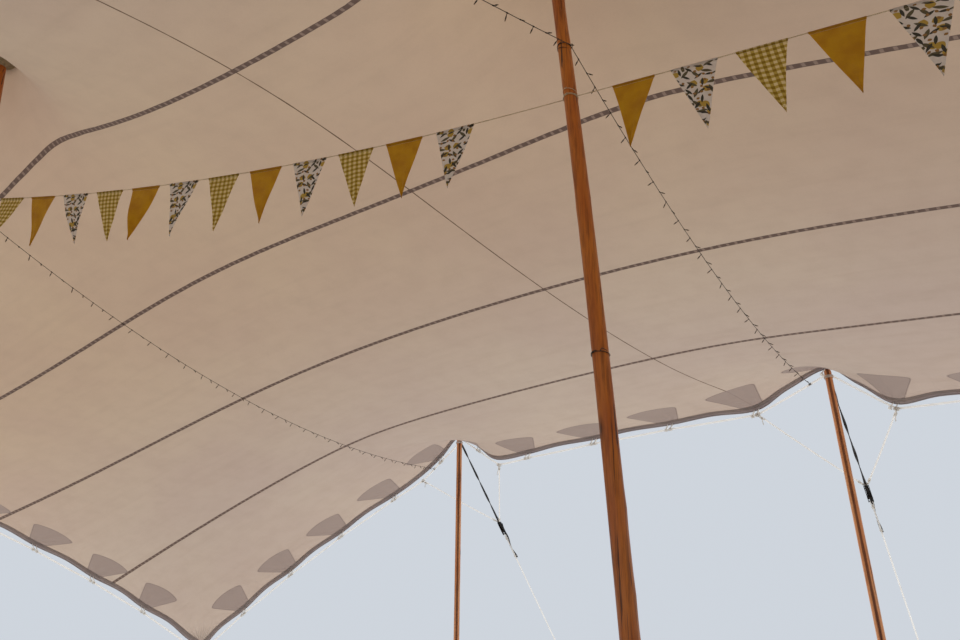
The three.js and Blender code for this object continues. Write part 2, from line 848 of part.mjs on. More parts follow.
// The first line of lights crosses the tent and bends round the front of pole 1
const nearEnd = tiedToEdge(23.5, CELLS_WIDE, 6 * GAP);
const farEnd = tiedToEdge(21.5, 0, 3 * GAP);
const lightsAxis = mainPoleAt(poleOne, LIGHTS_TIED_AT);
const lightsReach = mainPoleRadius(poleOne, LIGHTS_TIED_AT) + CABLE_R + 2 * GAP;
const bend = [335, 347, 359].map((degrees) => {
  const angle = degrees * Math.PI / 180;
  const offset = new THREE.Vector3(Math.cos(angle), Math.sin(angle), 0);
  return lightsAxis.clone().addScaledVector(offset, lightsReach);
});
const lightsOne = [
  ...hangingLine(nearEnd, bend[0], 150, 16).slice(0, -1),
  ...bend,
  ...hangingLine(bend[2], farEnd, 280, 14).slice(1),
];
addMesh("light_string_1", ropeGeometry(lightsOne, CABLE_R), MATERIALS.cable);

const knotEnd = tiedToEdge(9.6, 0, 3 * GAP);
const poleEnd = spotOnMainPole(poleTwo, LIGHTS_ON_POLE_2, knotEnd, 5 * GAP);
const lightsTwo = hangingLine(knotEnd, poleEnd, 380, 18);
addMesh("light_string_2", ropeGeometry(lightsTwo, CABLE_R), MATERIALS.cable);

export default group;
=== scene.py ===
import math
import random

import bpy
import numpy as np
from mathutils import Matrix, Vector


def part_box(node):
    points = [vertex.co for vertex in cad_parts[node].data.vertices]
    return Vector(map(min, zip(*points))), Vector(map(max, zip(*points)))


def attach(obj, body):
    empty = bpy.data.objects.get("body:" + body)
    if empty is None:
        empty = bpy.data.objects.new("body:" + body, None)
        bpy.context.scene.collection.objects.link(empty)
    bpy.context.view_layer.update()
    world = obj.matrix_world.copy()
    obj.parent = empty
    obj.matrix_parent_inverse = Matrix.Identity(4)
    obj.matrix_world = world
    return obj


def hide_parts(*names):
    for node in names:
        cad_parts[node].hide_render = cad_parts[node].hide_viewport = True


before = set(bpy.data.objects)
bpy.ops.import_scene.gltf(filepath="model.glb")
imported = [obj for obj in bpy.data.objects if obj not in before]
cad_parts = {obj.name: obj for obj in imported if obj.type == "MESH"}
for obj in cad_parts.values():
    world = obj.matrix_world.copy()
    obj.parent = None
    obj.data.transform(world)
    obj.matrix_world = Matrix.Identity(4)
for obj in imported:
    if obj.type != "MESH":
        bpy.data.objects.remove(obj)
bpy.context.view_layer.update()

# The photograph's camera, solved from the seams, the hem and the poles
CAMERA_AT, CAMERA_TURN = (3.13, -2.37, 0.48), (35.24, 26.25, 2.0)
SENSOR_MM, FOCAL_PX, PICTURE_PX = 36, 700.8, 960

heading, pitch, roll = (math.radians(a) for a in CAMERA_TURN)
camera_data = bpy.data.cameras.new("camera")
camera_data.sensor_width = SENSOR_MM
camera_data.lens = FOCAL_PX / PICTURE_PX * SENSOR_MM
camera_data.clip_end = 500
camera = bpy.data.objects.new("camera", camera_data)
bpy.context.collection.objects.link(camera)
camera.matrix_world = (
    Matrix.Translation(CAMERA_AT) @ Matrix.Rotation(heading, 4, "Z")
    @ Matrix.Rotation(math.pi / 2 + pitch, 4, "X") @ Matrix.Rotation(roll, 4, "Z")
)
bpy.context.scene.camera = camera
bpy.context.scene.view_settings.view_transform = "Standard"

# Sizes shared with the solids, in metres; places on the cloth are counted in cells
CELL = 0.375
LONG, WIDE = 40, 28
STRIP, LACE_PITCH = 1.5, 2 * CELL
HALF_LONG, HALF_WIDE = LONG * CELL / 2, WIDE * CELL / 2
HEM_PULL, PEAK_PULL, PEAK_REACH = 30, 2.34, 0.211
HELD = {
    "corner_left": (0, 0, -6.670, 4.700, 0.600),
    "knot_1": (9, 0, -3.350, 5.500, 2.940),
    "head_1": (11, 0, -2.480, 5.240, 3.360),
    "knot_2": (13, 0, -1.820, 5.170, 2.910),
    "knot_3": (20, 0, 1.430, 5.370, 3.120),
    "head_2": (22, 0, 2.210, 5.290, 3.420),
    "knot_4": (24, 0, 2.740, 5.510, 3.010),
    "knot_5": (31, 0, 5.600, 5.350, 2.820),
    "head_3": (33, 0, 6.350, 5.150, 3.200),
    "knot_6": (35, 0, 7.020, 5.220, 2.720),
    "corner_right": (40, 0, 8.150, 4.550, 1.500),
    "knot_7": (0, 12, -7.950, 0.160, 2.520),
    "head_4": (0, 14, -7.780, -0.500, 2.950),
    "knot_8": (0, 16, -8.020, -1.100, 2.540),
}
PEAKS = (
    {"cell": (25, 15), "apex": (1.654, 0.393, 5.240), "top": 4.900, "foot": (1.918, 0.502)},
    {"cell": (14, 18), "apex": (-2.951, -1.108, 5.364), "top": 5.134, "foot": (-2.760, -0.320)},
)
GUYS = (
    ("head_1", (0.078, 0.053), ("knot_1", "knot_2"), (-2.080, 7.900)),
    ("head_2", (0, 0), ("knot_3", "knot_4"), (2.360, 7.950)),
    ("head_3", (0, 0), ("knot_5", "knot_6"), (7.050, 7.600)),
    ("head_4", (0, 0), ("knot_7", "knot_8"), (-10.400, -0.820)),
)
CORNERS = (("corner_left", (-7.420, 5.500)), ("corner_right", (9.450, 5.850)))
MAIN_POLE_R, SIDE_POLE_R, POLE_BEND = 0.041, 0.036, 0.022
CAP_T = 0.046
ROPE_R, EDGE_ROPE_R, ROPE_DROP, ROPE_OUT = 0.006, 0.008, 0.072, 0.014
STRAP_DROP, SPOOL_AT = ROPE_DROP + 0.062, 0.150
STAKE_R, STAKE_TALL = 0.013, 0.210
ROPE_ON_STAKE = STAKE_TALL * 0.55
GAP = 0.0003
CABLE_R, LIGHTS_TIED_AT, LIGHTS_ON_POLE_2, LIGHT_PITCH = 0.0022, 3.861, 3.580, 0.105
FLAG_W, FLAG_H, FLAG_PITCH, FLAG_COLUMNS = 0.247, 0.439, 0.336, 14
BUNTING_LEFT = {"start": 3.455, "end": 3.700, "sag": 0.165, "bare": 0.555, "flags": 12, "loose": 0.22}
BUNTING_RIGHT = {"start": 3.455, "end": 2.530, "sag": 0.045, "bare": 0.220, "flags": 16, "loose": 0.2}

# The dressed cloth: each peak's flat top, its cone's shortest and longest reach, and the lacing's
# shift along the two ends, in cells; the way in which the cone of peak 2 is longest, in radians; the
# lift over the side poles; how far the hem draws in; its eyelets; the sags of the light strings
FLAT, FEET, SIDE_SHIFT = 0.42, ((3.0, 3.0), (2.1, 3.1)), 0.667
LONG_FOOT_AT, LONG_FOOT_SPREAD, CONE_STEEP = 0.21, 0.36, 1.25
HEAD_LIFT, HEAD_REACH = 0.09, 2.2
SCALLOP, SCALLOP_REACH = 0.09, 1.1
EYELET_APART, EYELET_DROP = 0.022, 0.015
LIGHT_SAGS, LOW_BINDING_AT = (0.150, 0.280, 0.380), 1.825

# Profiles: a pennant's fold (depth, way back, v), a flat band, stake and cap (radius, height), the
# rounding of a side pole's head, the folded hem (way in, height) with its u, step, thickness and full u
FLAG_FOLD = [
    (0.017, -0.0006, -0.040), (0.009, 0.0034, -0.031), (0.001, 0.0042, -0.023), (-0.003, 0.003, -0.018),
    (-0.0042, 0.0, -0.014), (-0.003, -0.003, -0.010), (0.001, -0.0042, -0.005), (0.007, -0.0038, 0.002),
]
BAND = [(-0.5, -0.25), (-0.46, -0.5), (0.46, -0.5), (0.5, -0.25),
        (0.5, 0.25), (0.46, 0.5), (-0.46, 0.5), (-0.5, 0.25)]
STAKE = [
    (0.0118, 0.0), (0.0130, 0.002), (0.0130, 0.188), (0.0150, 0.1925), (0.0215, 0.1955), (0.0236, 0.1985),
    (0.0240, 0.2020), (0.0234, 0.2060), (0.0212, 0.2085), (0.0160, 0.2098), (0.0080, 0.2100),
]
CAP = [
    (0.0415, -0.128), (0.0480, -0.127), (0.0510, -0.120), (0.0540, -0.108), (0.0680, -0.092),
    (0.0880, -0.078), (0.1080, -0.064), (0.1260, -0.050), (0.1390, -0.036), (0.1450, -0.026),
    (0.1462, -0.017), (0.1448, -0.009), (0.1390, -0.003), (0.1280, -0.0008), (0.0800, 0.0), (0.0200, 0.0),
]
HEAD_LIFTS = [0.0, 0.006, 0.012, 0.018, 0.024, 0.030, 0.035, 0.038]
HEAD_LESS = [0.0006, 0.0005, 0.0015, 0.0035, 0.0070, 0.0110, 0.0170, 0.0250]
HEM_FOLD = [(0.052, 0.0), (0.032, -0.0005), (0.014, -0.002), (0.003, -0.006),
            (-0.002, -0.013), (-0.004, -0.021), (-0.005, -0.028)]
HEM_RUN = [0.0, 0.020, 0.038, 0.050, 0.059, 0.067, 0.074]
HEM_STEP, HEM_THICK, HEM_FULL = 0.125, 0.0026, 0.077

FULL_TURN = 2 * math.pi
X, Z = np.array([1.0, 0, 0]), np.array([0, 0, 1.0])
chance = random.Random(11)


def unit(v):
    v = np.asarray(v, dtype=float)
    return v / np.linalg.norm(v)


def level_unit(v):
    return unit(np.asarray(v) * (1, 1, 0))


def runs(path, closed=False):
    """Distance run along a path, at each of its points and, if it is closed, back at the first"""
    path = np.vstack([path, path[:1]]) if closed else path
    return np.concatenate([[0], np.cumsum(np.linalg.norm(np.diff(path, axis=0), axis=1))])


def directions(path, closed=False):
    along = np.roll(path, -1, 0) - np.roll(path, 1, 0) if closed else np.gradient(path, axis=0)
    return along / np.linalg.norm(along, axis=1)[:, None]


def hanging_line(start, end, sag, steps):
    t = np.linspace(0, 1, steps + 1)[:, None]
    return start * (1 - t) + end * t - 4 * sag * t * (1 - t) * Z


def coil(centre, axis, radius, turns, pitch, steps):
    """Points of a winding round an axis"""
    axis = unit(axis)
    side = unit(np.cross(axis, Z if abs(axis[2]) < 0.9 else X))
    other = np.cross(axis, side)
    t = np.linspace(0, turns, int(turns * steps) + 1)[:, None]
    away = np.cos(FULL_TURN * t) * side + np.sin(FULL_TURN * t) * other
    return np.asarray(centre) + radius * away + (t - turns / 2) * pitch * axis


def round_angles(sides):
    return [FULL_TURN * s / sides for s in range(sides)]


def mirrored(*half):
    """Pairs of place and radius from one end of a turned part to its middle, made whole"""
    return [(-at, r) for at, r in half] + [(at, r) for at, r in reversed(half)]


def grid_faces(rows, columns):
    a = (np.arange(rows - 1)[:, None] * columns + np.arange(columns - 1)[None, :]).ravel()
    return np.stack([a, a + 1, a + columns + 1, a + columns], axis=1)


def new_object(name, data):
    obj = bpy.data.objects.new(name, data)
    bpy.context.collection.objects.link(obj)
    return obj


def new_mesh(name, points, faces, materials, smooth=True, uvs=None, slots=None, corners=None):
    """A mesh with the uv of each point in uvs, or of each corner of each face in corners"""
    mesh = bpy.data.meshes.new(name)
    mesh.from_pydata([tuple(p) for p in points], [], [tuple(f) for f in faces])
    mesh.update()
    for material in materials:
        mesh.materials.append(material)
    mesh.polygons.foreach_set("use_smooth", [smooth] * len(mesh.polygons))
    if slots is not None:
        mesh.polygons.foreach_set("material_index", slots)
    if uvs is not None:
        loops = np.zeros(len(mesh.loops), dtype=np.int32)
        mesh.loops.foreach_get("vertex_index", loops)
        corners = np.asarray(uvs)[loops]
    if corners is not None:
        layer = mesh.uv_layers.new(name="cloth")
        layer.data.foreach_set("uv", np.asarray(corners, dtype=np.float32).ravel())
    return new_object(name, mesh)


class Shape:
    """Points, faces and uv of one mesh that is put together from several forms"""

    def __init__(self):
        self.points, self.faces, self.corners, self.slots = [], [], [], []

    def skin(self, rings, along, around=None, slot=0, flip=False):
        """Faces over rings of points, with v in along and u in around, or once round from 0 to 1.
        One value more than there are rings or points closes the form that way; rings that aren't
        closed are capped."""
        count, n, first = len(rings), len(rings[0]), len(self.points)
        around = np.linspace(0, 1, n + 1) if around is None else around
        faces, corners = [], []
        for k in range(len(along) - 1):
            after, v0, v1 = (k + 1) % count, along[k], along[k + 1]
            for s in range(len(around) - 1):
                t, u0, u1 = (s + 1) % n, around[s], around[s + 1]
                face = [k * n + s, k * n + t, after * n + t, after * n + s]
                corner = [(u0, v0), (u1, v0), (u1, v1), (u0, v1)]
                if flip:
                    face, corner = face[:1] + face[:0:-1], corner[:1] + corner[:0:-1]
                faces.append(face)
                corners += corner
        if len(along) == count:
            for k, order in ((0, range(n - 1, -1, -1)), (count - 1, range(n))):
                faces.append([k * n + s for s in order])
                corners += [(around[s], along[k]) for s in order]
        self.points += [tuple(map(float, p)) for ring in rings for p in ring]
        self.faces += [[first + k for k in face] for face in faces]
        self.corners += corners
        self.slots += [slot] * len(faces)

    def tube(self, path, radius, sides=8, closed=False, slot=0, squash=1.0):
        """A tube round a path; uv runs once round it and along it in metres"""
        path = np.asarray(path, dtype=float)
        ways = directions(path, closed)
        side = np.cross(Z if abs(ways[0][2]) < 0.9 else X, ways[0])
        rings = []
        for at, way, r in zip(path, ways, np.broadcast_to(np.asarray(radius, dtype=float), len(path))):
            side = unit(side - way * side.dot(way))
            other = np.cross(way, side) * squash
            rings.append([at + (side * math.cos(a) + other * math.sin(a)) * r for a in round_angles(sides)])
        self.skin(rings, runs(path, closed), slot=slot)

    def wind(self, centre, axis, radius, turns, pitch, steps, wire, sides=8, slot=0):
        self.tube(coil(centre, axis, radius, turns, pitch, steps), wire, sides, slot=slot)

    def ring(self, centre, axis, radius, steps, wire, sides=8, slot=0, squash=1.0):
        self.tube(coil(centre, axis, radius, 1, 0, steps)[:-1], wire, sides, True, slot, squash)

    def turned(self, centre, axis, profile, sides, slot=0):
        """A small round part along an axis, from pairs of place and radius"""
        self.tube([centre + axis * at for at, _ in profile], [r for _, r in profile], sides, slot=slot)

    def lathe(self, centre, profile, sides):
        """Rings of radius r at height z about an upright axis"""
        rings = [[(centre[0] + r * math.cos(a), centre[1] + r * math.sin(a), z) for a in round_angles(sides)]
                 for r, z in profile]
        self.skin(rings, runs(np.array(profile)))

    def ribbon(self, path, wide_ways, wide, thick):
        """A flat band along a path; wide_ways gives the direction of its width at each point"""
        path = np.asarray(path, dtype=float)
        rings = []
        for at, way, wide_way in zip(path, directions(path), np.broadcast_to(wide_ways, path.shape)):
            w = unit(wide_way - way * wide_way.dot(way))
            n = np.cross(w, way)
            rings.append([at + w * (a * wide) + n * (b * thick) for a, b in BAND])
        self.skin(rings, runs(path), [a * wide for a, _ in BAND + BAND[:1]])

    def plate(self, centre, x, y, z, outline, thick):
        """A flat steel plate: outline in x and y, thickness along z, with broken edges"""
        outline, middle = np.array(outline), np.mean(outline, axis=0)
        rings = [[centre + x * a + y * b + z * (h * thick) for a, b in middle + (outline - middle) * shrink]
                 for h, shrink in ((-0.5, 0.94), (-0.32, 1.0), (0.32, 1.0), (0.5, 0.94))]
        self.skin(rings, [0.0] * 4, [0.0] * (len(outline) + 1), slot=1)

    def build(self, name, *materials):
        return new_mesh(name, self.points, self.faces, materials, slots=self.slots, corners=self.corners)


def srgb(*color):
    parts = (c / 255 for c in color)
    return tuple(c / 12.92 if c <= 0.04045 else ((c + 0.055) / 1.055) ** 2.4 for c in parts)


class Value:
    """A value that shader nodes work out; arithmetic on it adds nodes"""

    def __init__(self, look, socket):
        self.look, self.socket = look, socket

    def __add__(self, other):
        return self.look.math("ADD", self, other)

    def __sub__(self, other):
        return self.look.math("SUBTRACT", self, other)

    def __rsub__(self, other):
        return self.look.math("SUBTRACT", other, self)

    def __mul__(self, other):
        return self.look.math("MULTIPLY", self, other)

    def __truediv__(self, other):
        return self.look.math("DIVIDE", self, other)

    def __abs__(self):
        return self.look.math("ABSOLUTE", self)


class Look:
    """A material's nodes, written as plain calls; colours are given from 0 to 255"""

    def __init__(self, name):
        self.material = bpy.data.materials.new(name)
        self.material.use_nodes = True
        self.tree = self.material.node_tree
        self.tree.nodes.clear()

    def node(self, kind, sockets, out=0, **settings):
        """Adds a node; out names the output to give back, or several in a tuple"""
        made = self.tree.nodes.new(kind)
        for key, value in settings.items():
            setattr(made, key, value)
        for key, value in sockets.items():
            socket = made.inputs[key]
            if isinstance(value, Value):
                self.tree.links.new(value.socket, socket)
            else:
                socket.default_value = (*value, 1) if socket.type == "RGBA" else value
        found = [Value(self, made.outputs[k]) for k in (out if isinstance(out, tuple) else (out,))]
        return found if isinstance(out, tuple) else found[0]

    def math(self, operation, a, b=0.0, c=0.0):
        return self.node("ShaderNodeMath", {0: a, 1: b, 2: c}, operation=operation)

    def fract(self, value):
        return self.math("FRACT", value)

    def uv(self):
        uv = self.node("ShaderNodeUVMap", {}, uv_map="cloth")
        return uv, *self.node("ShaderNodeSeparateXYZ", {0: uv}, (0, 1))

    def place(self):
        return self.node("ShaderNodeTexCoord", {}, "Object")

    def stretched(self, where, scale):
        return self.node("ShaderNodeMapping", {"Vector": where, "Scale": scale})

    def noise(self, where, scale, detail=3.0, rough=0.5, stretch=None):
        where = self.stretched(where, stretch) if stretch else where
        sockets = {"Vector": where, "Scale": scale, "Detail": detail, "Roughness": rough}
        return self.node("ShaderNodeTexNoise", sockets)

    def wave(self, where, scale, bands, distortion=0.0, detail=2.0):
        sockets = {"Vector": where, "Scale": scale, "Distortion": distortion, "Detail": detail}
        return self.node("ShaderNodeTexWave", sockets, bands_direction=bands)

    def ramp(self, value, low, high, to_low=0.0, to_high=1.0, kind="SMOOTHSTEP"):
        sockets = {0: value, 1: low, 2: high, 3: to_low, 4: to_high}
        return self.node("ShaderNodeMapRange", sockets, interpolation_type=kind)

    def fall(self, value, low, high):
        return self.ramp(value, low, high, 1.0, 0.0)

    def near(self, value, mark, low, high):
        """1 near a mark, 0 away from it"""
        return self.fall(abs(value - mark), low, high)

    def mix(self, factor, a, b, blend="MIX"):
        return self.node("ShaderNodeMix", {0: factor, 6: a, 7: b}, 2, data_type="RGBA", blend_type=blend)

    def between(self, value, low, high, a, b):
        return self.mix(self.ramp(value, low, high), srgb(*a), srgb(*b))

    def coats(self, tone, *coats):
        """Paints coats over a tone, each a mask and a colour"""
        for mask, color in coats:
            tone = self.mix(mask, tone, srgb(*color))
        return tone

    def surface(self, color, roughness, height=None, through=None, share=0.0, more=None):
        """The main shader; through is the colour of light that comes through the cloth"""
        normal = {}
        if height is not None:
            bump = {"Height": height, "Distance": 1.0, "Strength": 1.0}
            normal["Normal"] = self.node("ShaderNodeBump", bump)
        sockets = {"Base Color": color, "Roughness": roughness, **normal, **(more or {})}
        result = self.node("ShaderNodeBsdfPrincipled", sockets)
        if through is not None:
            glow = self.node("ShaderNodeBsdfTranslucent", {"Color": through, **normal})
            result = self.node("ShaderNodeMixShader", {0: share, 1: result, 2: glow})
        output = self.tree.nodes.new("ShaderNodeOutputMaterial")
        self.tree.links.new(result.socket, output.inputs[0])
        return self.material


def settle():
    """The net of the cloth in balance, with the peaks set on their caps"""
    count = (LONG + 1) * (WIDE + 1)

    def index(i, j):
        return i * (WIDE + 1) + j

    held = {}
    for i, j, x, y, z in HELD.values():
        held[index(i, j)] = (x, y, z)
        held[index(LONG - i, WIDE - j)] = (-x, -y, z)
    for peak in PEAKS:
        held[index(*peak["cell"])] = peak["apex"]
    ci, cj = PEAKS[1]["cell"]
    stiff = np.zeros((count, count))

    def thread(i, j, next_i, next_j, hem):
        """Pulls two neighbours together, harder at the hem and close to the second peak"""
        far = math.hypot((i + next_i) / 2 - ci, (j + next_j) / 2 - cj) * CELL / PEAK_REACH
        strength = HEM_PULL if hem else 1 + PEAK_PULL / (1 + far * far) ** 1.5
        ends = np.array([index(i, j), index(next_i, next_j)])
        stiff[ends, ends] += strength
        stiff[ends, ends[::-1]] -= strength

    for i in range(LONG + 1):
        for j in range(WIDE + 1):
            if i < LONG:
                thread(i, j, i + 1, j, j in (0, WIDE))
            if j < WIDE:
                thread(i, j, i, j + 1, i in (0, LONG))
    fixed = np.array(sorted(held))
    free = np.setdiff1d(np.arange(count), fixed)
    places = np.zeros((count, 3))
    places[fixed] = [held[k] for k in fixed]
    load = -stiff[np.ix_(free, fixed)] @ places[fixed]
    places[free] = np.linalg.solve(stiff[np.ix_(free, free)], load)
    for peak in PEAKS:
        places[index(*peak["cell"]), 2] = peak["top"]
    return places.reshape(LONG + 1, WIDE + 1, 3)


NET = settle()


# The net with one more row all round, in line with its edge, so that curves can end there
PADDED = np.pad(NET, ((1, 1), (1, 1), (0, 0)), mode="reflect", reflect_type="odd")
CATMULL_ROM = np.array([[0, 1, 0, 0], [-0.5, 0, 0.5, 0], [1, -2.5, 2, -0.5], [-0.5, 1.5, -1.5, 0.5]])


def weights(t, count):
    """The four rows of the padded net round each place t, and their weights"""
    base = np.clip(np.floor(t).astype(int), 0, count - 1)
    return base[..., None] + np.arange(4), (t - base)[..., None] ** np.arange(4) @ CATMULL_ROM


def net_surface(u, v):
    """Smooth surface through the net"""
    (iu, wu), (iv, wv) = weights(u, LONG), weights(v, WIDE)
    return np.einsum("...a,...b,...abc->...c", wu, wv, PADDED[iu[..., :, None], iv[..., None, :]])


def cloth(u, v):
    """Middle of the cloth, with rounded cones over the caps and raised at the side poles"""
    place = net_surface(u, v)
    for peak, (least, most) in zip(PEAKS, FEET):
        ci, cj = peak["cell"]
        du, dv = u - ci, v - cj
        rho = np.hypot(du, dv)
        turned = (np.arctan2(dv, du) - LONG_FOOT_AT) / LONG_FOOT_SPREAD
        wide = np.asarray(least + (most - least) * np.exp(-turned ** 2))
        near = (rho < wide) & (rho > 1e-9)
        if near.any():
            eu, ev, wide = du[near] / rho[near], dv[near] / rho[near], wide[near]
            foot = net_surface(ci + eu * wide, cj + ev * wide)[..., 2]
            beyond = net_surface(ci + eu * (wide + 0.1), cj + ev * (wide + 0.1))[..., 2]
            span = wide - FLAT
            t = np.clip((rho[near] - FLAT) / span, 0, 1)
            slope = (beyond - foot) / 0.1 * span
            steep = (foot - peak["top"]) * CONE_STEEP
            place[near, 2] = (
                peak["top"] * (1 - 3 * t ** 2 + 2 * t ** 3)
                + steep * (t - 2 * t ** 2 + t ** 3)
                + foot * (3 * t ** 2 - 2 * t ** 3)
                + slope * (t ** 3 - t ** 2)
            )
        place[rho <= 1e-9, 2] = peak["top"]
    inside = np.minimum(np.minimum(u, LONG - u), np.minimum(v, WIDE - v))
    for name, (i, j, *_) in HELD.items():
        if name.startswith("head"):
            for ci, cj in ((i, j), (LONG - i, WIDE - j)):
                far = np.hypot(u - ci, v - cj) / HEAD_REACH
                place[..., 2] += HEAD_LIFT * np.exp(-far ** 2) * np.clip(inside, 0, 1)
    return place


def hem_pull_in(u, v):
    """How far the hem draws in between its lacing points, along u and v"""
    def scallop(along):
        return SCALLOP * np.sin(math.pi * along / 2) ** 2

    def close(inside):
        return np.clip(1 - inside / SCALLOP_REACH, 0, 1) ** 2

    gu = scallop(v - SIDE_SHIFT) * close(u) * np.clip(v, 0, 1)
    gu = gu - scallop(v + SIDE_SHIFT) * close(LONG - u) * np.clip(WIDE - v, 0, 1)
    return gu, scallop(u) * (close(v) - close(WIDE - v))


def sheet_point(u, v):
    u, v = np.asarray(u, dtype=float), np.asarray(v, dtype=float)
    gu, gv = hem_pull_in(u, v)
    return cloth(np.clip(u + gu, 0, LONG), np.clip(v + gv, 0, WIDE))


def lines(count, centre):
    """Where the lines of the fine grid run: closer together over the peaks"""
    marks = list(np.arange(0, count + 1e-9, 0.2))
    for c in centre:
        marks += list(np.arange(c - 1.3, c + 1.3 + 1e-9, 0.1))
    marks = np.unique(np.round(marks, 4))
    keep = [marks[0]]
    for m in marks[1:]:
        if m - keep[-1] > 0.055:
            keep.append(m)
    keep[-1] = count
    return np.array(keep)


def is_corner(i, j):
    return i in (0, LONG) and j in (0, WIDE)


def outward(i, j):
    """Outward direction of the hem at a point of the net on its edge"""
    if j in (0, WIDE):
        way = NET[min(i + 1, LONG), j] - NET[max(i - 1, 0), j]
        return unit((-way[1], way[0], 0)) * (1 if j == 0 else -1)
    way = NET[i, j + 1] - NET[i, j - 1]
    return unit((way[1], -way[0], 0)) * (1 if i == 0 else -1)


def corner_out(i, j):
    return unit((-1.0 if i == 0 else 1.0, 1.0 if j == 0 else -1.0, 0))


def rope_point(i, j):
    """Middle of the edge rope at a point of the net on its edge"""
    out = corner_out(i, j) * math.hypot(0.7, 0.7) if is_corner(i, j) else outward(i, j)
    return NET[i, j] + out * ROPE_OUT - Z * ROPE_DROP


def along_edge(of_point, i, j):
    """A value at a place on the edge, between its two points of the net"""
    a, b = (math.floor(i), math.floor(j)), (math.ceil(i), math.ceil(j))
    f = max(i - a[0], j - a[1])
    return of_point(*a) * (1 - f) + of_point(*b) * f


def tied_to_edge(i, j, off):
    return along_edge(rope_point, i, j) - unit(along_edge(outward, i, j)) * (EDGE_ROPE_R + off)


def edge_way(i, j):
    """Direction of the edge rope at a place on the edge"""
    if is_corner(i, j):
        out = corner_out(i, j)
        return unit((out[1], -out[0], 0))
    if j in (0, WIDE):
        ends = (min(i + 1, LONG), j), (max(i - 1, 0), j)
    else:
        ends = (i, min(j + 1, WIDE)), (i, max(j - 1, 0))
    return unit(along_edge(rope_point, *ends[0]) - along_edge(rope_point, *ends[1]))


def main_pole_top(peak):
    return peak["top"] - 0.004 - CAP_T - 2 * GAP


def main_pole_at(peak, z):
    t = z / main_pole_top(peak)
    x = peak["foot"][0] + (peak["apex"][0] - peak["foot"][0]) * t + POLE_BEND * math.sin(math.pi * t)
    y = peak["foot"][1] + (peak["apex"][1] - peak["foot"][1]) * t
    return np.array([x, y, z])


def main_pole_radius(peak, z):
    return MAIN_POLE_R + 0.002 - 0.004 * z / main_pole_top(peak)


def spot_on_post(axis, radius, sides, toward, off=2 * GAP):
    """Place on the faceted skin of a post, on the side of another place"""
    way, facet = level_unit(toward - axis), FULL_TURN / sides
    turned = math.atan2(way[1], way[0]) + FULL_TURN
    skin = radius * math.cos(facet / 2) / math.cos(turned % facet - facet / 2)
    return axis + way * (skin + off)


def on_main_pole(peak, z, toward, off=2 * GAP):
    return spot_on_post(main_pole_at(peak, z), main_pole_radius(peak, z), 16, toward, off)


def side_poles():
    """Head, foot, shoulder height, knots and stake of each guyed pole"""
    found = []
    for way in (1, -1):
        for head, beside_foot, knots, stake in GUYS:
            cells = [HELD[name][:2] for name in (head, *knots)]
            if way < 0:
                cells = [(LONG - i, WIDE - j) for i, j in cells]
            axis = NET[cells[0]] - outward(*cells[0]) * (SIDE_POLE_R + 0.010)
            number = len(found) + 1
            found.append({
                "number": number, "cell": cells[0], "knots": cells[1:], "head": axis,
                "foot": np.array([axis[0] + way * beside_foot[0], axis[1] + way * beside_foot[1], 0]),
                "shoulder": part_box(f"side_pole_{number}")[1][2] - HEAD_LIFTS[-1],
                "stake": np.array([way * stake[0], way * stake[1], 0.0]),
            })
    return found


def side_pole_at(pole, z):
    t = z / pole["shoulder"]
    spot = pole["foot"] * (1 - t) + pole["head"] * t
    spot[2] = z
    return spot


SIDE_POLES = side_poles()
CORNER_STAKES = [
    (rope_point(LONG - i if way < 0 else i, WIDE - j if way < 0 else j), np.array([way * x, way * y, 0.0]))
    for way in (1, -1) for (i, j), (x, y) in ((HELD[corner][:2], stake) for corner, stake in CORNERS)
]


def piece(obj, slot, *nodes):
    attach(obj, "root")
    if nodes:
        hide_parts(*nodes)
    return obj


def cord_curve(name, path, radius, material):
    curve = bpy.data.curves.new(name, "CURVE")
    curve.dimensions = "3D"
    curve.bevel_depth = radius
    curve.bevel_resolution = 3
    curve.use_fill_caps = True
    spline = curve.splines.new("POLY")
    spline.points.add(len(path) - 1)
    spline.points.foreach_set("co", np.hstack([path, np.ones((len(path), 1))]).ravel())
    curve.materials.append(material)
    return new_object(name, curve)


def string_look():
    look = Look("cotton string")
    place = look.place()
    twist = look.wave(place, 90.0, "DIAGONAL", 1.5, 1.0)
    tone = look.between(look.noise(place, 14.0), 0.3, 0.7, (240, 222, 190), (206, 186, 150))
    # Painted shade: darker colour along the twist's grooves, besides their bump
    return look.surface(look.coats(tone, (twist * 0.45, (126, 106, 74))), 0.9, twist * 0.0012)


def cable_look():
    look = Look("dark cable")
    dust = look.noise(look.place(), 25.0)
    tone = look.between(dust, 0.35, 0.75, (38, 31, 26), (74, 62, 50))
    return look.surface(tone, look.ramp(dust, 0.3, 0.7, 0.38, 0.65), dust * 0.0005)


def lamp_look():
    look = Look("clear lamp bead")
    haze = look.noise(look.place(), 120.0, 2.0)
    tone = look.mix(haze, srgb(112, 94, 68), srgb(76, 62, 44))
    return look.surface(tone, 0.22, haze * 0.0003, more={"Coat Weight": 0.4})


def flag_look(name, paint):
    """Cotton with slubs, a woven face and a row of stitches; paint gives its colours"""
    look = Look(name)
    uv, u, v = look.uv()
    slub = look.noise(uv, 90.0, 3.0, 0.6, (1.0, 7.0, 1.0))
    stitch = look.near(v, 0.017, 0.0009, 0.0018) * look.ramp(look.fract(u * 220.0), 0.3, 0.4)
    tone = look.coats(paint(look, uv, u, v), (look.ramp(slub, 0.4, 0.8) * 0.16, (96, 74, 30)),
                      (stitch * 0.5, (238, 226, 190)))
    threads = 900.0 / 6.28
    weave = look.wave(uv, threads, "X") + look.wave(uv, threads, "Y")
    height = weave * 0.00018 + look.noise(uv, 22.0) * 0.004
    return look.surface(tone, 0.9, height, tone, 0.34, {"Sheen Weight": 0.2})


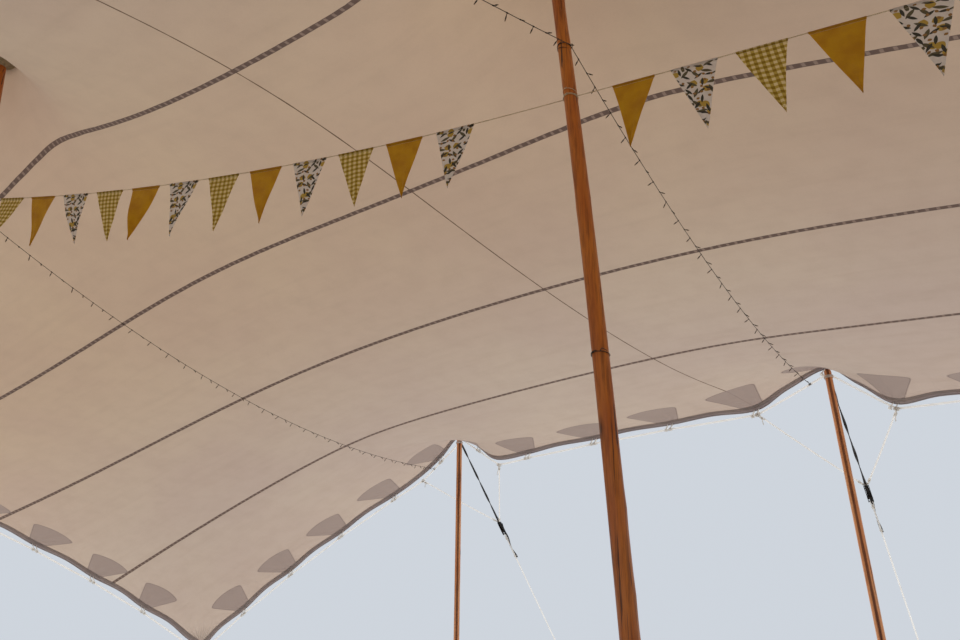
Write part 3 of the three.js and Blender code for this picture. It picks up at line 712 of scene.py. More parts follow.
def ochre(look, uv, u, v):
    return look.between(look.noise(uv, 9.0, 4.0), 0.3, 0.7, (200, 150, 8), (182, 128, 3))


def gingham(look, uv, u, v):
    def stripes(value):
        return look.near(look.fract(value / 0.034), 0.5, 0.235, 0.265)
    both = stripes(u) + stripes(v + 0.008)
    single = look.ramp(both, 0.0, 1.0, kind="LINEAR")
    tone = look.mix(single, srgb(230, 212, 160), srgb(190, 164, 74))
    return look.coats(tone, (look.ramp(both, 1.0, 2.0, kind="LINEAR"), (146, 116, 22)))


def strokes_and_spots(look, uv, u, v):
    """Plain generic print: slender dark strokes and ochre spots strewn over white"""
    tone = look.mix(look.noise(uv, 30.0, 2.0), srgb(234, 228, 224), srgb(216, 208, 202))
    for scale, shift, long, wide, keep, color in (
        (13.5, (0.31, 0.12, 0), 0.0250, 0.0225, 0.62, (186, 156, 70)),
        (16.0, (0.77, 0.45, 0), 0.0330, 0.0100, 0.88, (92, 86, 64)),
        (19.0, (0.12, 0.83, 0), 0.0280, 0.0080, 0.75, (58, 58, 52)),
        (27.0, (0.58, 0.29, 0), 0.0100, 0.0080, 0.45, (150, 112, 64)),
    ):
        where = look.node("ShaderNodeMapping", {"Vector": uv, "Location": shift})
        sockets = {"Vector": where, "Scale": scale, "Randomness": 0.75}
        drawn, middle = look.node("ShaderNodeTexVoronoi", sockets, ("Color", "Position"),
                                  voronoi_dimensions="2D")
        away = look.node("ShaderNodeVectorMath", {0: where, 1: middle}, operation="SUBTRACT")
        dx, dy = look.node("ShaderNodeSeparateXYZ", {0: away}, (0, 1))
        turn, lot = look.node("ShaderNodeSeparateColor", {0: drawn}, (0, 1))
        turn = turn * 6.283
        c, s = look.math("COSINE", turn), look.math("SINE", turn)
        x, y = (dx * c + dy * s) / long, (dy * c - dx * s) / wide
        mask = look.fall(x * x + abs(y), 0.85, 1.0) * look.math("LESS_THAN", lot, keep)
        tone = look.coats(tone, (mask, color))
    return tone


string_material, cable_material, lamp_material = string_look(), cable_look(), lamp_look()
prints = {
    "ochre": flag_look("ochre cotton", ochre),
    "gingham": flag_look("gingham cotton", gingham),
    "printed": flag_look("printed cotton", strokes_and_spots),
}


def flag(name, start, end, kind, swing, billow, twist):
    """A cotton pennant whose top edge is folded over the string"""
    along = unit(end - start)
    across = unit(np.cross(Z, along))
    width = float(np.linalg.norm(end - start))
    wave = chance.uniform(0, 6.28)
    points, uvs = [], []
    for depth, back, v in FLAG_FOLD + [(d, -0.0024, d) for d in np.linspace(0.016, FLAG_H, 26)]:
        t = min(max(depth, 0) / FLAG_H, 1)
        half = max((1 - t) * 0.5, 0.006)
        lean = twist * t ** 1.5
        for s in np.linspace(0, 1, FLAG_COLUMNS + 1):
            x, middling = (s - 0.5) * 2 * half * width, 1 - ((s - 0.5) * 2) ** 2
            bow = billow * (t * (1 - 0.35 * t)) * (1 + middling) * 0.5
            ripple = 0.006 * t * math.sin(7 * t + wave) + 0.004 * t * math.sin(wave + 9 * s + 4 * t)
            spot = start + along * (width / 2 + swing * t ** 1.3 + x * math.cos(lean))
            spot = spot + across * (back + bow + ripple + x * math.sin(lean))
            points.append(spot - Z * depth * (1 - 0.004 * middling))
            uvs.append((x + 0.2, v))
    faces = grid_faces(len(points) // (FLAG_COLUMNS + 1), FLAG_COLUMNS + 1)
    return new_mesh(name, points, faces, [prints[kind]], uvs=uvs)


def bunting(node, start, end, span, order, swings, twists, way):
    """A string of pennants; swings and twists are those of single pennants, the rest are drawn"""
    line = hanging_line(start, end, span["sag"], 24)
    fine = hanging_line(start, end, span["sag"], 96)
    string = piece(cord_curve(f"{node}_string", fine, 0.0025, string_material), "flag", node)
    float(runs(fine)[-1])
    length = float(np.linalg.norm(end - start))

    def spot(distance):
        t = distance / length * 24
        k = min(int(t), 23)
        return line[k] * (1 - (t - k)) + line[k + 1] * (t - k)

    for n in range(span["flags"]):
        at = span["bare"] + n * FLAG_PITCH
        swing = swings.get(n, chance.uniform(-0.02, 0.03)) * way
        billow = chance.uniform(-0.022, 0.022)
        twist = twists.get(n, chance.uniform(-span["loose"], span["loose"]))
        pennant = flag(f"{node}_flag_{n + 1}", spot(at), spot(at + FLAG_W), order[n % 3],
                       swing, billow, twist)
        piece(pennant, "flag", node)


pole_one, pole_two = PEAKS
tie_one = main_pole_at(pole_one, BUNTING_LEFT["start"])
tie_two = main_pole_at(pole_two, BUNTING_LEFT["end"])
tie_right = side_pole_at(SIDE_POLES[7], BUNTING_RIGHT["end"])
bunting(
    "bunting_left",
    on_main_pole(pole_one, BUNTING_LEFT["start"], tie_two),
    on_main_pole(pole_two, BUNTING_LEFT["end"], tie_one),
    BUNTING_LEFT, ("printed", "ochre", "gingham"),
    dict(enumerate((-0.026, 0.018, 0.046, 0.017, 0.036, 0.012, -0.012, -0.03, 0.13, 0.16, 0.045, -0.15))),
    {7: 0.9}, -1,
)
bunting(
    "bunting_right",
    on_main_pole(pole_one, BUNTING_RIGHT["start"], tie_right),
    spot_on_post(tie_right, SIDE_POLE_R, 12, tie_one),
    BUNTING_RIGHT, ("ochre", "printed", "gingham"), {0: -0.05, 2: 0.05, 3: 0.03}, {}, 1,
)


def lights(node, path):
    """A cable with small lamps that hang from it on short leads"""
    cable = piece(cord_curve(node + "_cable", path, CABLE_R, cable_material), "cable", node)
    shape, turn, run = Shape(), 1.0, runs(path)
    for distance in np.arange(0.12, run[-1] - 0.1, LIGHT_PITCH):
        k = int(np.searchsorted(run, distance)) - 1
        f = (distance - run[k]) / (run[k + 1] - run[k])
        spot = path[k] * (1 - f) + path[k + 1] * f
        along = unit(path[k + 1] - path[k])
        side = unit(np.cross(along, Z))
        turn = -turn
        lean = turn * chance.uniform(0.5, 1.6)
        way = unit(side * lean + along * chance.uniform(-0.5, 0.5) - Z)
        shape.turned(spot, along, mirrored((0.008, 0.0026), (0.005, 0.0040)), 8)
        shape.turned(spot, way, ((0, 0.0026), (0.012, 0.0024), (0.020, 0.0024)), 6)
        shape.turned(spot, way, ((0.018, 0.0034), (0.021, 0.0042), (0.033, 0.0040)), 8)
        shape.turned(spot, way, ((0.033, 0.0034), (0.037, 0.0034), (0.043, 0.0028), (0.047, 0.0010)), 8, 1)
    lamps = piece(shape.build(node + "_lamps", cable_material, lamp_material), "cable")
    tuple(path[0])
    float(runs(path)[-1])


LIGHT_TIES = ((23.5, WIDE, 6 * GAP), (21.5, 0, 3 * GAP), (9.6, 0, 3 * GAP))
near_end, far_end, knot_end = (tied_to_edge(*tie) for tie in LIGHT_TIES)
lights_axis = main_pole_at(pole_one, LIGHTS_TIED_AT)
lights_reach = main_pole_radius(pole_one, LIGHTS_TIED_AT) + CABLE_R + 2 * GAP
bend = [lights_axis + lights_reach * np.array([math.cos(a), math.sin(a), 0])
        for a in (math.radians(d) for d in (335, 341, 347, 353, 359))]
lights("light_string_1", np.vstack([
    hanging_line(near_end, bend[0], LIGHT_SAGS[0], 48)[:-1], bend,
    hanging_line(bend[-1], far_end, LIGHT_SAGS[1], 56)[1:],
]))
pole_end = on_main_pole(pole_two, LIGHTS_ON_POLE_2, knot_end, 5 * GAP)
lights("light_string_2", hanging_line(knot_end, pole_end, LIGHT_SAGS[2], 72))


def cloth_look():
    """Elastic tent cloth: wide sewn seams, patches at the lacing, creases at what pulls; painted light makes
    it cooler near the hem and warmer in the middle
    """
    look = Look("tent cloth with painted light")
    uv, u, v = look.uv()
    wobble = look.noise(uv, 9.0, 2.0) * 0.006 - 0.003
    strip = (v + wobble) / STRIP
    across = abs(strip - look.math("ROUND", strip)) * STRIP
    edge_u = abs(u - HALF_LONG)
    in_u, in_v = HALF_LONG - edge_u, HALF_WIDE - abs(v - HALF_WIDE)
    depth = look.math("MINIMUM", in_u, in_v)
    band = look.fall(across, 0.0165, 0.0190) * look.ramp(in_v, 0.02, 0.03)
    dash = look.near(look.fract(u / 0.060), 0.5, 0.12, 0.20) * look.fall(across, 0.0125, 0.0150) * band
    rim = look.ramp(across, 0.0125, 0.0165) * band
    cross = look.fall(abs(edge_u + wobble * 0.8), 0.0034, 0.0058)

    # Fan-shaped patches of double cloth, one at each place where the edge is laced
    upright = look.math("GREATER_THAN", in_v, in_u)
    place = upright * (v - u) + u
    along = place + look.math("SIGN", u - HALF_LONG) * (SIDE_SHIFT * CELL) * upright
    lace = along - look.math("ROUND", along / LACE_PITCH) * LACE_PITCH
    deep = depth + 0.17
    flank = (deep * 0.48 - abs(lace)) * 0.857
    reach = look.math("SQRT", lace * lace + deep * deep)
    inward = look.math("SMOOTH_MIN", flank, 0.575 - reach, 0.06)
    half = upright * (HALF_WIDE - HALF_LONG) + HALF_LONG
    from_corner = half - abs(place - lace - half)
    patch = look.ramp(inward, -0.0015, 0.0015) * look.math("GREATER_THAN", from_corner, 0.6)
    patch_stitch = look.near(inward, 0.008, 0.001, 0.0025) * patch

    cloudy = look.ramp(look.noise(look.place(), 0.45, 3.0, 0.55), 0.3, 0.7)
    mottle = look.noise(uv, 5.0, 5.0, 0.6)
    thread = look.noise(uv, 60.0, 2.0, 0.6, (1.0, 4.0, 1.0))
    streak = look.noise(uv, 3.0, 3.0, 0.55, (0.25, 3.0, 1.0))
    # Painted light: a cooler, greyer tone near the hem, where sky light comes in under the cloth, and a
    # warmer one towards the middle, lit only through the cloth
    painted_skylight_hem_tone = look.mix(cloudy, srgb(207, 191, 184), srgb(213, 199, 189))
    painted_warm_light_middle_tone = look.mix(cloudy, srgb(208, 185, 167), srgb(214, 193, 171))
    tone = look.coats(
        look.mix(look.ramp(in_v, 1.2, 5.0), painted_skylight_hem_tone, painted_warm_light_middle_tone),
        (look.ramp(mottle, 0.35, 0.75) * 0.13, (172, 150, 136)),
        (look.ramp(streak, 0.45, 0.8) * 0.12, (176, 156, 140)),
        (look.ramp(thread, 0.4, 0.8) * 0.08, (150, 130, 114)),
        (cross * 0.85, (112, 88, 70)),
        (patch * 0.85, (192, 176, 171)),
        (patch_stitch * 0.5, (112, 94, 88)),
        (band * 0.95, (134, 115, 107)),
        (rim * 0.3, (100, 84, 80)),
        (dash * 0.55, (186, 166, 154)),
    )

    # Creases: soft ripples everywhere, streaks that fan out from the lacing, pleats at the corners
    ripples = look.noise(uv, 1.1, 2.0, 0.5, (1.0, 2.2, 1.0))
    ray = look.math("ARCTAN2", lace, depth + 0.04) + look.noise(uv, 2.3, 2.0) * 1.4
    fans = look.math("SINE", ray * 11.0) * look.fall(depth, 0.05, 0.75)
    fans = fans * look.ramp(depth, 0.02, 0.12, 0.35, 1.0)
    fold = look.math("ARCTAN2", in_u, in_v) * 34.0 + look.noise(uv, 3.0, 2.0) * 9.0
    corner = look.math("SQRT", in_u * in_u + in_v * in_v)
    pleat = look.math("SINE", fold) * look.fall(corner, 0.05, 0.5)
    height = (
        ripples * 0.035 + fans * 0.0026 + pleat * 0.010 + band * 0.0016 - dash * 0.0014 - cross * 0.0012
        + patch * 0.0012 - patch_stitch * 0.0009 + look.noise(uv, 220.0, 2.0, 0.6) * 0.0003
    )
    block = look.math("MAXIMUM", band * (1.0 - dash * 0.45), cross * 0.55)
    block = look.math("MAXIMUM", block, patch * 0.68)
    through = look.mix(1.0, tone, look.mix(block, (0.90, 0.84, 0.76), (0.38, 0.35, 0.35)), "MULTIPLY")
    return look.surface(tone, 0.85, height, through, 0.36, {"Sheen Weight": 0.15, "Specular IOR Level": 0.25})


def hem_look():
    look = Look("folded hem")
    uv, u, v = look.uv()
    tone = look.between(look.noise(look.place(), 2.2, 4.0), 0.3, 0.7, (206, 196, 196), (216, 206, 204))
    rows = look.math("MINIMUM", abs(u - 0.008), abs(u - 0.068))
    stitch = look.fall(rows, 0.0012, 0.0024) * look.ramp(look.fract(v * 170.0), 0.3, 0.42)
    tone = look.coats(tone, (stitch * 0.7, (96, 80, 76)))
    pucker = look.noise(uv, 24.0, 2.0, 0.5, (0.4, 1.0, 1.0))
    height = look.noise(uv, 260.0, 2.0) * 0.0004 + pucker * 0.005 - stitch * 0.001
    through = look.mix(1.0, tone, (0.72, 0.72, 0.74), "MULTIPLY")
    return look.surface(tone, 0.85, height, through, 0.6)


def steel_look(name, light, dark, rusty, metal):
    look = Look(name)
    where = look.place()
    rust = look.noise(where, 40.0, 5.0, 0.65)
    mask = look.ramp(rust, rusty, rusty + 0.14)
    scratch = look.noise(where, 90.0, 2.0, 0.5, (1.0, 1.0, 0.1))
    tone = look.coats(look.between(scratch, 0.35, 0.7, dark, light), (mask, (96, 62, 40)))
    rough = look.ramp(rust, 0.35, 0.7, 0.32, 0.8)
    return look.surface(tone, rough, rust * 0.001, more={"Metallic": look.ramp(mask, 0.0, 1.0, metal, 0.1)})


steel_material = steel_look("worn steel", (150, 148, 142), (112, 110, 106), 0.54, 0.9)
black_steel = steel_look("black ratchet steel", (44, 44, 46), (24, 24, 26), 0.66, 0.55)

grid_u, grid_v = np.meshgrid(*(lines(n, [p["cell"][k] for p in PEAKS]) for k, n in enumerate((LONG, WIDE))),
                             indexing="ij")
canopy = new_mesh("canopy", sheet_point(grid_u, grid_v).reshape(-1, 3), grid_faces(*grid_u.shape)[:, ::-1],
                  [cloth_look()], uvs=np.stack([grid_u * CELL, grid_v * CELL], axis=-1).reshape(-1, 2))
piece(canopy, "cloth", *[f"canopy_strip_{k}" for k in range(1, 8)])


def laced_places():
    """Where the edge is laced: every two cells, the corners among them, shifted on the two ends"""
    far = [(float(i), 0.0) for i in range(0, LONG, 2)] + [(float(LONG), 0.0)]
    far += [(float(LONG), j - SIDE_SHIFT) for j in range(2, WIDE, 2)]
    return far + [(LONG - i, WIDE - j) for i, j in far]


def eyelet(i, j, shift):
    """Middle, axis and edge direction of an eyelet in the band that hangs at the hem"""
    out = corner_out(i, j) if is_corner(i, j) else unit(along_edge(outward, i, j))
    step = EYELET_APART / CELL * shift
    u, v = (np.clip(i + step, 0, LONG), j) if j in (0, WIDE) else (i, np.clip(j + step, 0, WIDE))
    spot = sheet_point([u], [v])[0] + out * 0.0050 - Z * EYELET_DROP
    return spot, unit(out + Z * 0.3), edge_way(i, j)


def fold_hem():
    """The doubled edge of the cloth, folded over and sewn, with steel eyelets"""
    marks_u, marks_v = np.arange(0, LONG, HEM_STEP), np.arange(0, WIDE, HEM_STEP)
    places = [(u, 0, 0, 1) for u in marks_u] + [(LONG, v, -1, 0) for v in marks_v]
    places += [(LONG - u, WIDE, 0, -1) for u in marks_u] + [(0, WIDE - v, 1, 0) for v in marks_v]
    u, v, iu, iv = np.array(places, dtype=float).T
    for k in range(len(u)):
        if is_corner(u[k], v[k]):
            iu[k], iv[k] = iu[k] + iu[k - 1], iv[k] + iv[k - 1]
    middle = sheet_point(u, v)
    outside = middle - sheet_point(u + iu * 0.05, v + iv * 0.05)
    outside[:, 2] = 0
    outside /= np.linalg.norm(outside, axis=1)[:, None]
    rows = []
    for inside, drop in HEM_FOLD:
        reach = max(inside, 0) / CELL
        rows.append(sheet_point(u + iu * reach, v + iv * reach) + outside * max(-inside, 0) + Z * drop)
    rows = np.array(rows)
    face = np.cross(np.gradient(rows, axis=0), (np.roll(middle, -1, 0) - np.roll(middle, 1, 0))[None])
    face /= np.linalg.norm(face, axis=2)[..., None]
    lip = rows[-1] + (rows[-1] - rows[-2]) * 0.3
    rings = np.array([*(rows + face * HEM_THICK), lip, *(rows - face * HEM_THICK)[::-1]])
    shape = Shape()
    shape.skin(rings.transpose(1, 0, 2), runs(middle, True), HEM_RUN + [HEM_FULL] + HEM_RUN[::-1], flip=True)
    for i, j in laced_places():
        for shift in (-1, 1):
            eye, axis, _ = eyelet(i, j, shift)
            for face_way in (1, -1):
                shape.ring(eye + axis * (face_way * 0.0030), axis, 0.0082, 18, 0.0028, 6, 1, 0.6)
    return shape.build("hem", hem_look(), steel_material)


hem = piece(fold_hem(), "cloth")


def rope_look(name, strands, pitch, depth, braided):
    look = Look(name)
    uv, u, v = look.uv()
    around, run = u * strands, v / pitch
    strand = abs(look.fract(around + run) - 0.5)
    if braided:
        strand = look.math("MAXIMUM", strand, abs(look.fract(around - run) - 0.5))
    tone = look.between(look.noise(look.place(), 6.0, 4.0), 0.3, 0.75, (255, 254, 250), (246, 243, 236))
    # Painted shade: the grooves between strands are tinted a little darker
    tone = look.coats(tone, (look.ramp(strand, 0.42, 0.5) * 0.15, (200, 196, 186)))
    height = look.fall(strand, 0.1, 0.5) * depth + look.noise(uv, 400.0, 2.0) * 0.0002
    return look.surface(tone, 0.85, height, (1.0, 1.0, 1.0), 0.74)


def webbing_look():
    look = Look("black webbing")
    _, u, v = look.uv()
    ribs = look.math("SINE", v * (FULL_TURN / 0.0022))
    rows = look.math("SINE", u * (FULL_TURN / 0.0040))
    tone = look.between(look.noise(look.place(), 30.0, 4.0), 0.35, 0.75, (22, 22, 24), (48, 48, 52))
    tone = look.coats(tone, (look.ramp(ribs, 0.0, 1.0) * 0.3, (48, 48, 52)))
    return look.surface(tone, 0.62, (ribs + rows) * 0.0003, more={"Sheen Weight": 0.2})


braid_material = rope_look("braided white rope", 8.0, 0.012, 0.0005, True)
twisted_material = rope_look("twisted white rope", 3.0, 0.034, 0.0008, False)
webbing_material = webbing_look()


def stake_loop(shape, start, stake):
    """A rope from start that ends in a spliced loop round its stake"""
    centre = stake + Z * ROPE_ON_STAKE
    end = centre + level_unit(start - centre) * (STAKE_R + 0.0072)
    back = unit(start - end)
    shape.tube(hanging_line(start, end, 0, 24), ROPE_R + 0.0025, 12)
    for lift in (-0.0055, 0.0055):
        shape.ring(centre + Z * lift, Z, STAKE_R + 0.0058, 24, 0.0053, 10)
    for far in (0.030, 0.160):
        shape.wind(end + back * far, back, 0.0105, 3, 0.0095, 16, 0.0048)
    tail = [end + back * 0.172 + (0.004, 0.004, -0.008), end + back * 0.14 - Z * 0.03,
            end + back * 0.13 - Z * 0.058]
    shape.tube(tail, [0.005, 0.005, 0.0052])


def lace(shape, i, j):
    """Two slanted loops of cord that tie the edge rope to the eyelets of the hem"""
    for shift in (-1, 1):
        eye, axis, along = eyelet(i, j, shift)
        base = along_edge(rope_point, i, j) + along * (shift * 0.024 - 0.034)
        shape.wind(base, along, EDGE_ROPE_R + 0.0070, 2.5, 0.0112, 16, 0.0056)
        for way in (-1, 1):
            start = base + axis * (way * 0.0145) + Z * 0.004
            middle = (start + eye) / 2 + axis * (way * 0.0100)
            shape.tube([start, middle, eye + axis * (way * 0.0080) - Z * 0.004], 0.0058)
        shape.tube([eye + axis * a + Z * z for a, z in (
            (0.0085, 0), (0.0060, 0.0045), (-0.0060, 0.0045), (-0.0085, 0))], 0.0052)


def rope_knot(shape, at, along, toward):
    """Bulky knot where a side rope is tied to the edge rope"""
    hang = unit(toward)
    side = unit(np.cross(hang, along))

    def spot(h, s, drop):
        return at + hang * h + side * s - Z * (drop + 0.012)

    shape.wind(at, along, EDGE_ROPE_R + 0.0080, 4, 0.0125, 18, 0.0062)
    shape.wind(spot(0.055, 0, 0), hang, 0.0105, 4, 0.0100, 16, 0.0050)
    for way in (-1, 1):
        shape.tube([spot(h, s * way, 0) for h, s in ((0, 0.006), (0.025, 0.015), (0.05, 0.006))], 0.0046)
    tail = [spot(0.06, 0.012, 0), spot(0.05, 0.035, 0.02), spot(0.06, 0.045, 0.05)]
    shape.tube(tail, [0.0046, 0.0046, 0.005])


def strap_line(pole):
    """Where a guy's strap, ratchet and rope run, with its own three directions"""
    ground = pole["stake"] + Z * ROPE_ON_STAKE
    start = side_pole_at(pole, pole["head"][2] - STRAP_DROP)
    start = start + level_unit(ground - start) * SIDE_POLE_R
    along = unit(ground - start)
    start = start + along * 0.003
    side = unit(np.cross(along, Z))
    return start, along, side, np.cross(side, along), start + (ground - start) * 0.3


def round_edge(place):
    """How far round the edge a place is"""
    i, j = place
    if j == 0:
        return i
    if i == LONG:
        return LONG + j
    return 2 * LONG + WIDE - i if j == WIDE else 2 * (LONG + WIDE) - j


def edge_ropes():
    shape, laces, rings = Shape(), Shape(), Shape()
    tied = [cell for pole in SIDE_POLES for cell in [*pole["knots"], pole["cell"]]]
    keyed = {(float(i), float(j)) for i, j in laced_places() + tied}
    keyed = [along_edge(rope_point, i, j) for i, j in sorted(keyed, key=round_edge)]
    path = []
    for k, at in enumerate(keyed):
        after = keyed[(k + 1) % len(keyed)]
        steps = max(2, int(np.linalg.norm(after - at) / 0.12))
        for f in np.arange(steps) / steps:
            path.append(at * (1 - f) + after * f - Z * (0.006 * math.sin(math.pi * f)))
    shape.tube(path, EDGE_ROPE_R + 0.0030, 12, closed=True)
    for i, j in laced_places():
        lace(laces, i, j)
    inner = math.hypot(0.036, 0.005) / 2 + 0.0009
    for pole in SIDE_POLES:
        _, along, _, _, ratchet = strap_line(pole)
        centre = ratchet - along * 0.014
        rings.ring(centre, along, inner + 0.0025, 28, 0.0042, 10)
        for i, j in pole["knots"]:
            at = rope_point(i, j)
            to = at - centre
            to = unit(to - along * to.dot(along))
            end = centre + to * (inner + 0.0055)
            back = unit(at - end)
            shape.tube(hanging_line(at, end, 0.01, 20), ROPE_R + 0.0025, 10)
            rope_knot(shape, at, edge_way(i, j), end - at)
            shape.wind(end + back * 0.045, back, 0.0095, 4, 0.0092, 14, 0.0044)
            shape.ring(end + back * 0.004, np.cross(back, to), 0.0085, 16, 0.0042)
    for at, stake in CORNER_STAKES:
        stake_loop(shape, at, stake)
        toward = unit(stake + Z * 0.1 - at)
        shape.wind(at + toward * 0.02, toward, 0.0125, 3, 0.011, 16, 0.0052)
        shape.wind(at + toward * 0.10, toward, 0.0105, 4, 0.0096, 16, 0.0048)
    piece(shape.build("edge_ropes", braid_material), "rope", "edge_rope")
    piece(laces.build("hem_lacing", braid_material), "rope", "edge_rope")
    piece(rings.build("guy_rings", steel_material), "stake")


edge_ropes()


def slotted(length, high):
    """Outline of a long plate with round ends"""
    r, angles = high / 2, np.linspace(-math.pi / 2, math.pi / 2, 8)
    right_end = [(length - r + r * math.cos(a), r * math.sin(a)) for a in angles]
    return right_end + [(r - r * math.cos(a), -r * math.sin(a)) for a in angles]


def gear(teeth, outer, inner):
    step = FULL_TURN / teeth
    return [(r * math.cos(step * (k + f)), r * math.sin(step * (k + f)))
            for k in range(teeth) for r, f in ((outer, 0), (outer, 0.25), (inner, 0.45))]


def ratchet_parts(shape, at, along, side, over):
    """Side plates, spool with wound webbing, toothed wheels, handle and bolts"""
    lift = unit(over * 0.16 - along)
    spool, grip = at(SPOOL_AT), at(SPOOL_AT, 0, 0.008) + lift * 0.100
    for way in (-1, 1):
        shape.plate(at(0, way * 0.0235), along, over, side, slotted(0.205, 0.030), 0.0028)
        shape.plate(at(SPOOL_AT, way * 0.0205), along, over, side, gear(11, 0.0200, 0.0155), 0.0026)
        shape.plate(at(SPOOL_AT, way * 0.0180, 0.006), lift, unit(np.cross(side, lift)), side,
                    slotted(0.112, 0.018), 0.0022)
    shape.turned(spool, side, mirrored((0.0275, 0.0070), (0.0265, 0.0085)), 14, 1)
    shape.turned(spool, side, mirrored((0.0175, 0.0120), (0.0165, 0.0150)), 20)
    for reach in (0.012, 0.190):
        shape.turned(at(reach), side, mirrored((0.0262, 0.0040), (0.0258, 0.0050)), 10, 1)
        for way in (-1, 1):
            shape.turned(at(reach), side * way, ((0.0248, 0.0080), (0.0256, 0.0080), (0.0262, 0.0066)), 6, 1)
    shape.turned(grip, side, (
        (-0.0235, 0.0060), (-0.0225, 0.0085), (-0.010, 0.0092), (0, 0.0088),
        (0.010, 0.0092), (0.0225, 0.0085), (0.0235, 0.0060),
    ), 12, 1)
    shape.ribbon([at(0.002), at(0.06, 0, 0.006), at(SPOOL_AT, 0, 0.0155), at(0.160, 0, 0.0115)],
                 side, 0.034, 0.0026)


def guy(pole):
    """One guy: webbing with its ratchet, and the twisted rope down to the stake"""
    start, along, side, over, ratchet = strap_line(pole)
    number, strap, rope = pole["number"], Shape(), Shape()

    def at(a, s=0.0, o=0.0):
        return ratchet + along * a + side * s + over * o

    round_at = side_pole_at(pole, pole["head"][2] - STRAP_DROP)
    strap.wind(round_at, Z, SIDE_POLE_R + 0.0050, 3, 0.0100, 36, 0.0048, 10, 2)
    t = np.linspace(0, 1, 90)
    path = start + (at(0.005) - start) * t[:, None]
    path[0] -= along * 0.004
    turn = (t * 3.5 - np.sin(t * 3.5 * FULL_TURN) / FULL_TURN * 0.7) * math.pi
    strap.ribbon(path, np.cos(turn)[:, None] * over + np.sin(turn)[:, None] * side, 0.027, 0.0080)
    ratchet_parts(strap, at, along, side, over)

    # The strap's spare end lies along the rope, tied to it
    tail, edges = [], []
    for f in np.linspace(0, 1, 24):
        tail.append(at(0.160 + 0.42 * f, 0.004 * math.sin(7 * f), 0.017 + 0.006 * math.sin(9 * f)))
        edges.append(side * math.cos(3.6 * f) + over * math.sin(3.6 * f))
    strap.ribbon(tail, edges, 0.028, 0.0024)
    webbing = strap.build(f"guy_strap_{number}_webbing", webbing_material, black_steel, braid_material)
    piece(webbing, "strap", f"guy_strap_{number}")

    stake_loop(rope, at(0.2323), pole["stake"])
    rope.wind(at(0.262), along, 0.0112, 4, 0.0106, 18, 0.0052)
    rope.tube([at(a, s) for a, s in (
        (0.240, 0.004), (0.224, 0.013), (0.196, 0.012), (0.186, 0), (0.196, -0.012), (0.224, -0.013),
        (0.240, -0.004))], 0.0052)
    rope.wind(at(0.540), along, 0.0135, 2.5, 0.0060, 16, 0.0030, 6)
    piece(rope.build(f"guy_rope_{number}_twisted", twisted_material), "rope", f"guy_rope_{number}")


for pole in SIDE_POLES:
    guy(pole)

pole_stakes, corner_stakes = [pole["stake"] for pole in SIDE_POLES], [stake for _, stake in CORNER_STAKES]
for k, at in enumerate(pole_stakes[:4] + corner_stakes[:2] + pole_stakes[4:] + corner_stakes[2:], 1):
    shape = Shape()
    shape.lathe(at, STAKE, 28)
    piece(shape.build(f"stake_{k}_forged", steel_material), "stake", f"stake_{k}")


def timber_look(name, light, mid, dark, crack_and_painted_shade_tone, painted_shade_stripe=0.0):
    look = Look(name)
    _, u, _ = look.uv()
    where = look.place()
    grain = look.noise(where, 26.0, 6.0, 0.65, (3.0, 3.0, 0.16))
    broad = look.noise(where, 5.0, 3.0, 0.55, (2.0, 2.0, 0.35))
    cracks = look.noise(where, 16.0, 3.0, 0.5, (3.5, 3.5, 0.06))
    peel = look.noise(where, 9.0, 4.0, 0.6, (3.0, 3.0, 0.25))
    upright = look.stretched(where, (1.6, 1.6, 0.55))
    knots = look.node("ShaderNodeTexVoronoi", {"Vector": upright, "Scale": 5.0})
    knot, crack = look.fall(knots, 0.05, 0.13), look.ramp(cracks, 0.625, 0.665)
    tone = look.coats(
        look.between(broad, 0.3, 0.72, mid, light),
        (look.ramp(grain, 0.42, 0.7) * 0.6, dark),
        (look.ramp(peel, 0.56, 0.72) * 0.5, dark),
        (look.fall(knots, 0.10, 0.26) * 0.55, dark),
        (crack * 0.85, crack_and_painted_shade_tone),
        (knot * 0.8, (58, 26, 10)),
    )
    # Painted shade: a dark stripe down the front of the pole, where its uv starts, so the middle reads as
    # shaded between lit edges
    if painted_shade_stripe:
        across = abs(look.fract(u + 0.5) - 0.5) + look.noise(where, 5.0) * 0.05
        tone = look.coats(tone, (look.fall(across, 0.055, 0.105) * painted_shade_stripe, crack_and_painted_shade_tone))
    height = grain * 0.002 - crack * 0.004 + knot * 0.004
    more = {"Specular IOR Level": 0.45, "Coat Weight": 0.12, "Coat Roughness": 0.3}
    return look.surface(tone, look.ramp(grain, 0.3, 0.7, 0.34, 0.52), height, more=more)


def cap_look():
    look = Look("padded cap")
    _, u, v = look.uv()
    where = look.place()
    grain = look.noise(where, 30.0, 5.0, 0.6)
    seam = look.near(v, 0.135, 0.0015, 0.003)
    gather = look.math("SINE", u * (FULL_TURN * 24))
    tone = look.between(grain, 0.3, 0.7, (160, 148, 122), (182, 170, 142))
    height = grain * 0.003 + look.noise(where, 420.0, 2.0) * 0.0004 + gather * 0.0012 - seam * 0.002
    return look.surface(look.coats(tone, (seam * 0.6, (52, 46, 36))), 0.8, height, more={"Sheen Weight": 0.2})


main_timber = timber_look("oiled main pole", (206, 122, 34), (180, 94, 20), (98, 42, 8), (34, 14, 5))
# Side poles: orange timber tones, made lighter as painted light on the edges, with a painted shade stripe
# down the middle of the front
side_timber_with_painted_shade = timber_look("oiled side pole with painted shade", (250, 184, 128), (238, 158, 100), (194, 112, 62), (92, 40, 16),
                          0.85)
cap_material = cap_look()


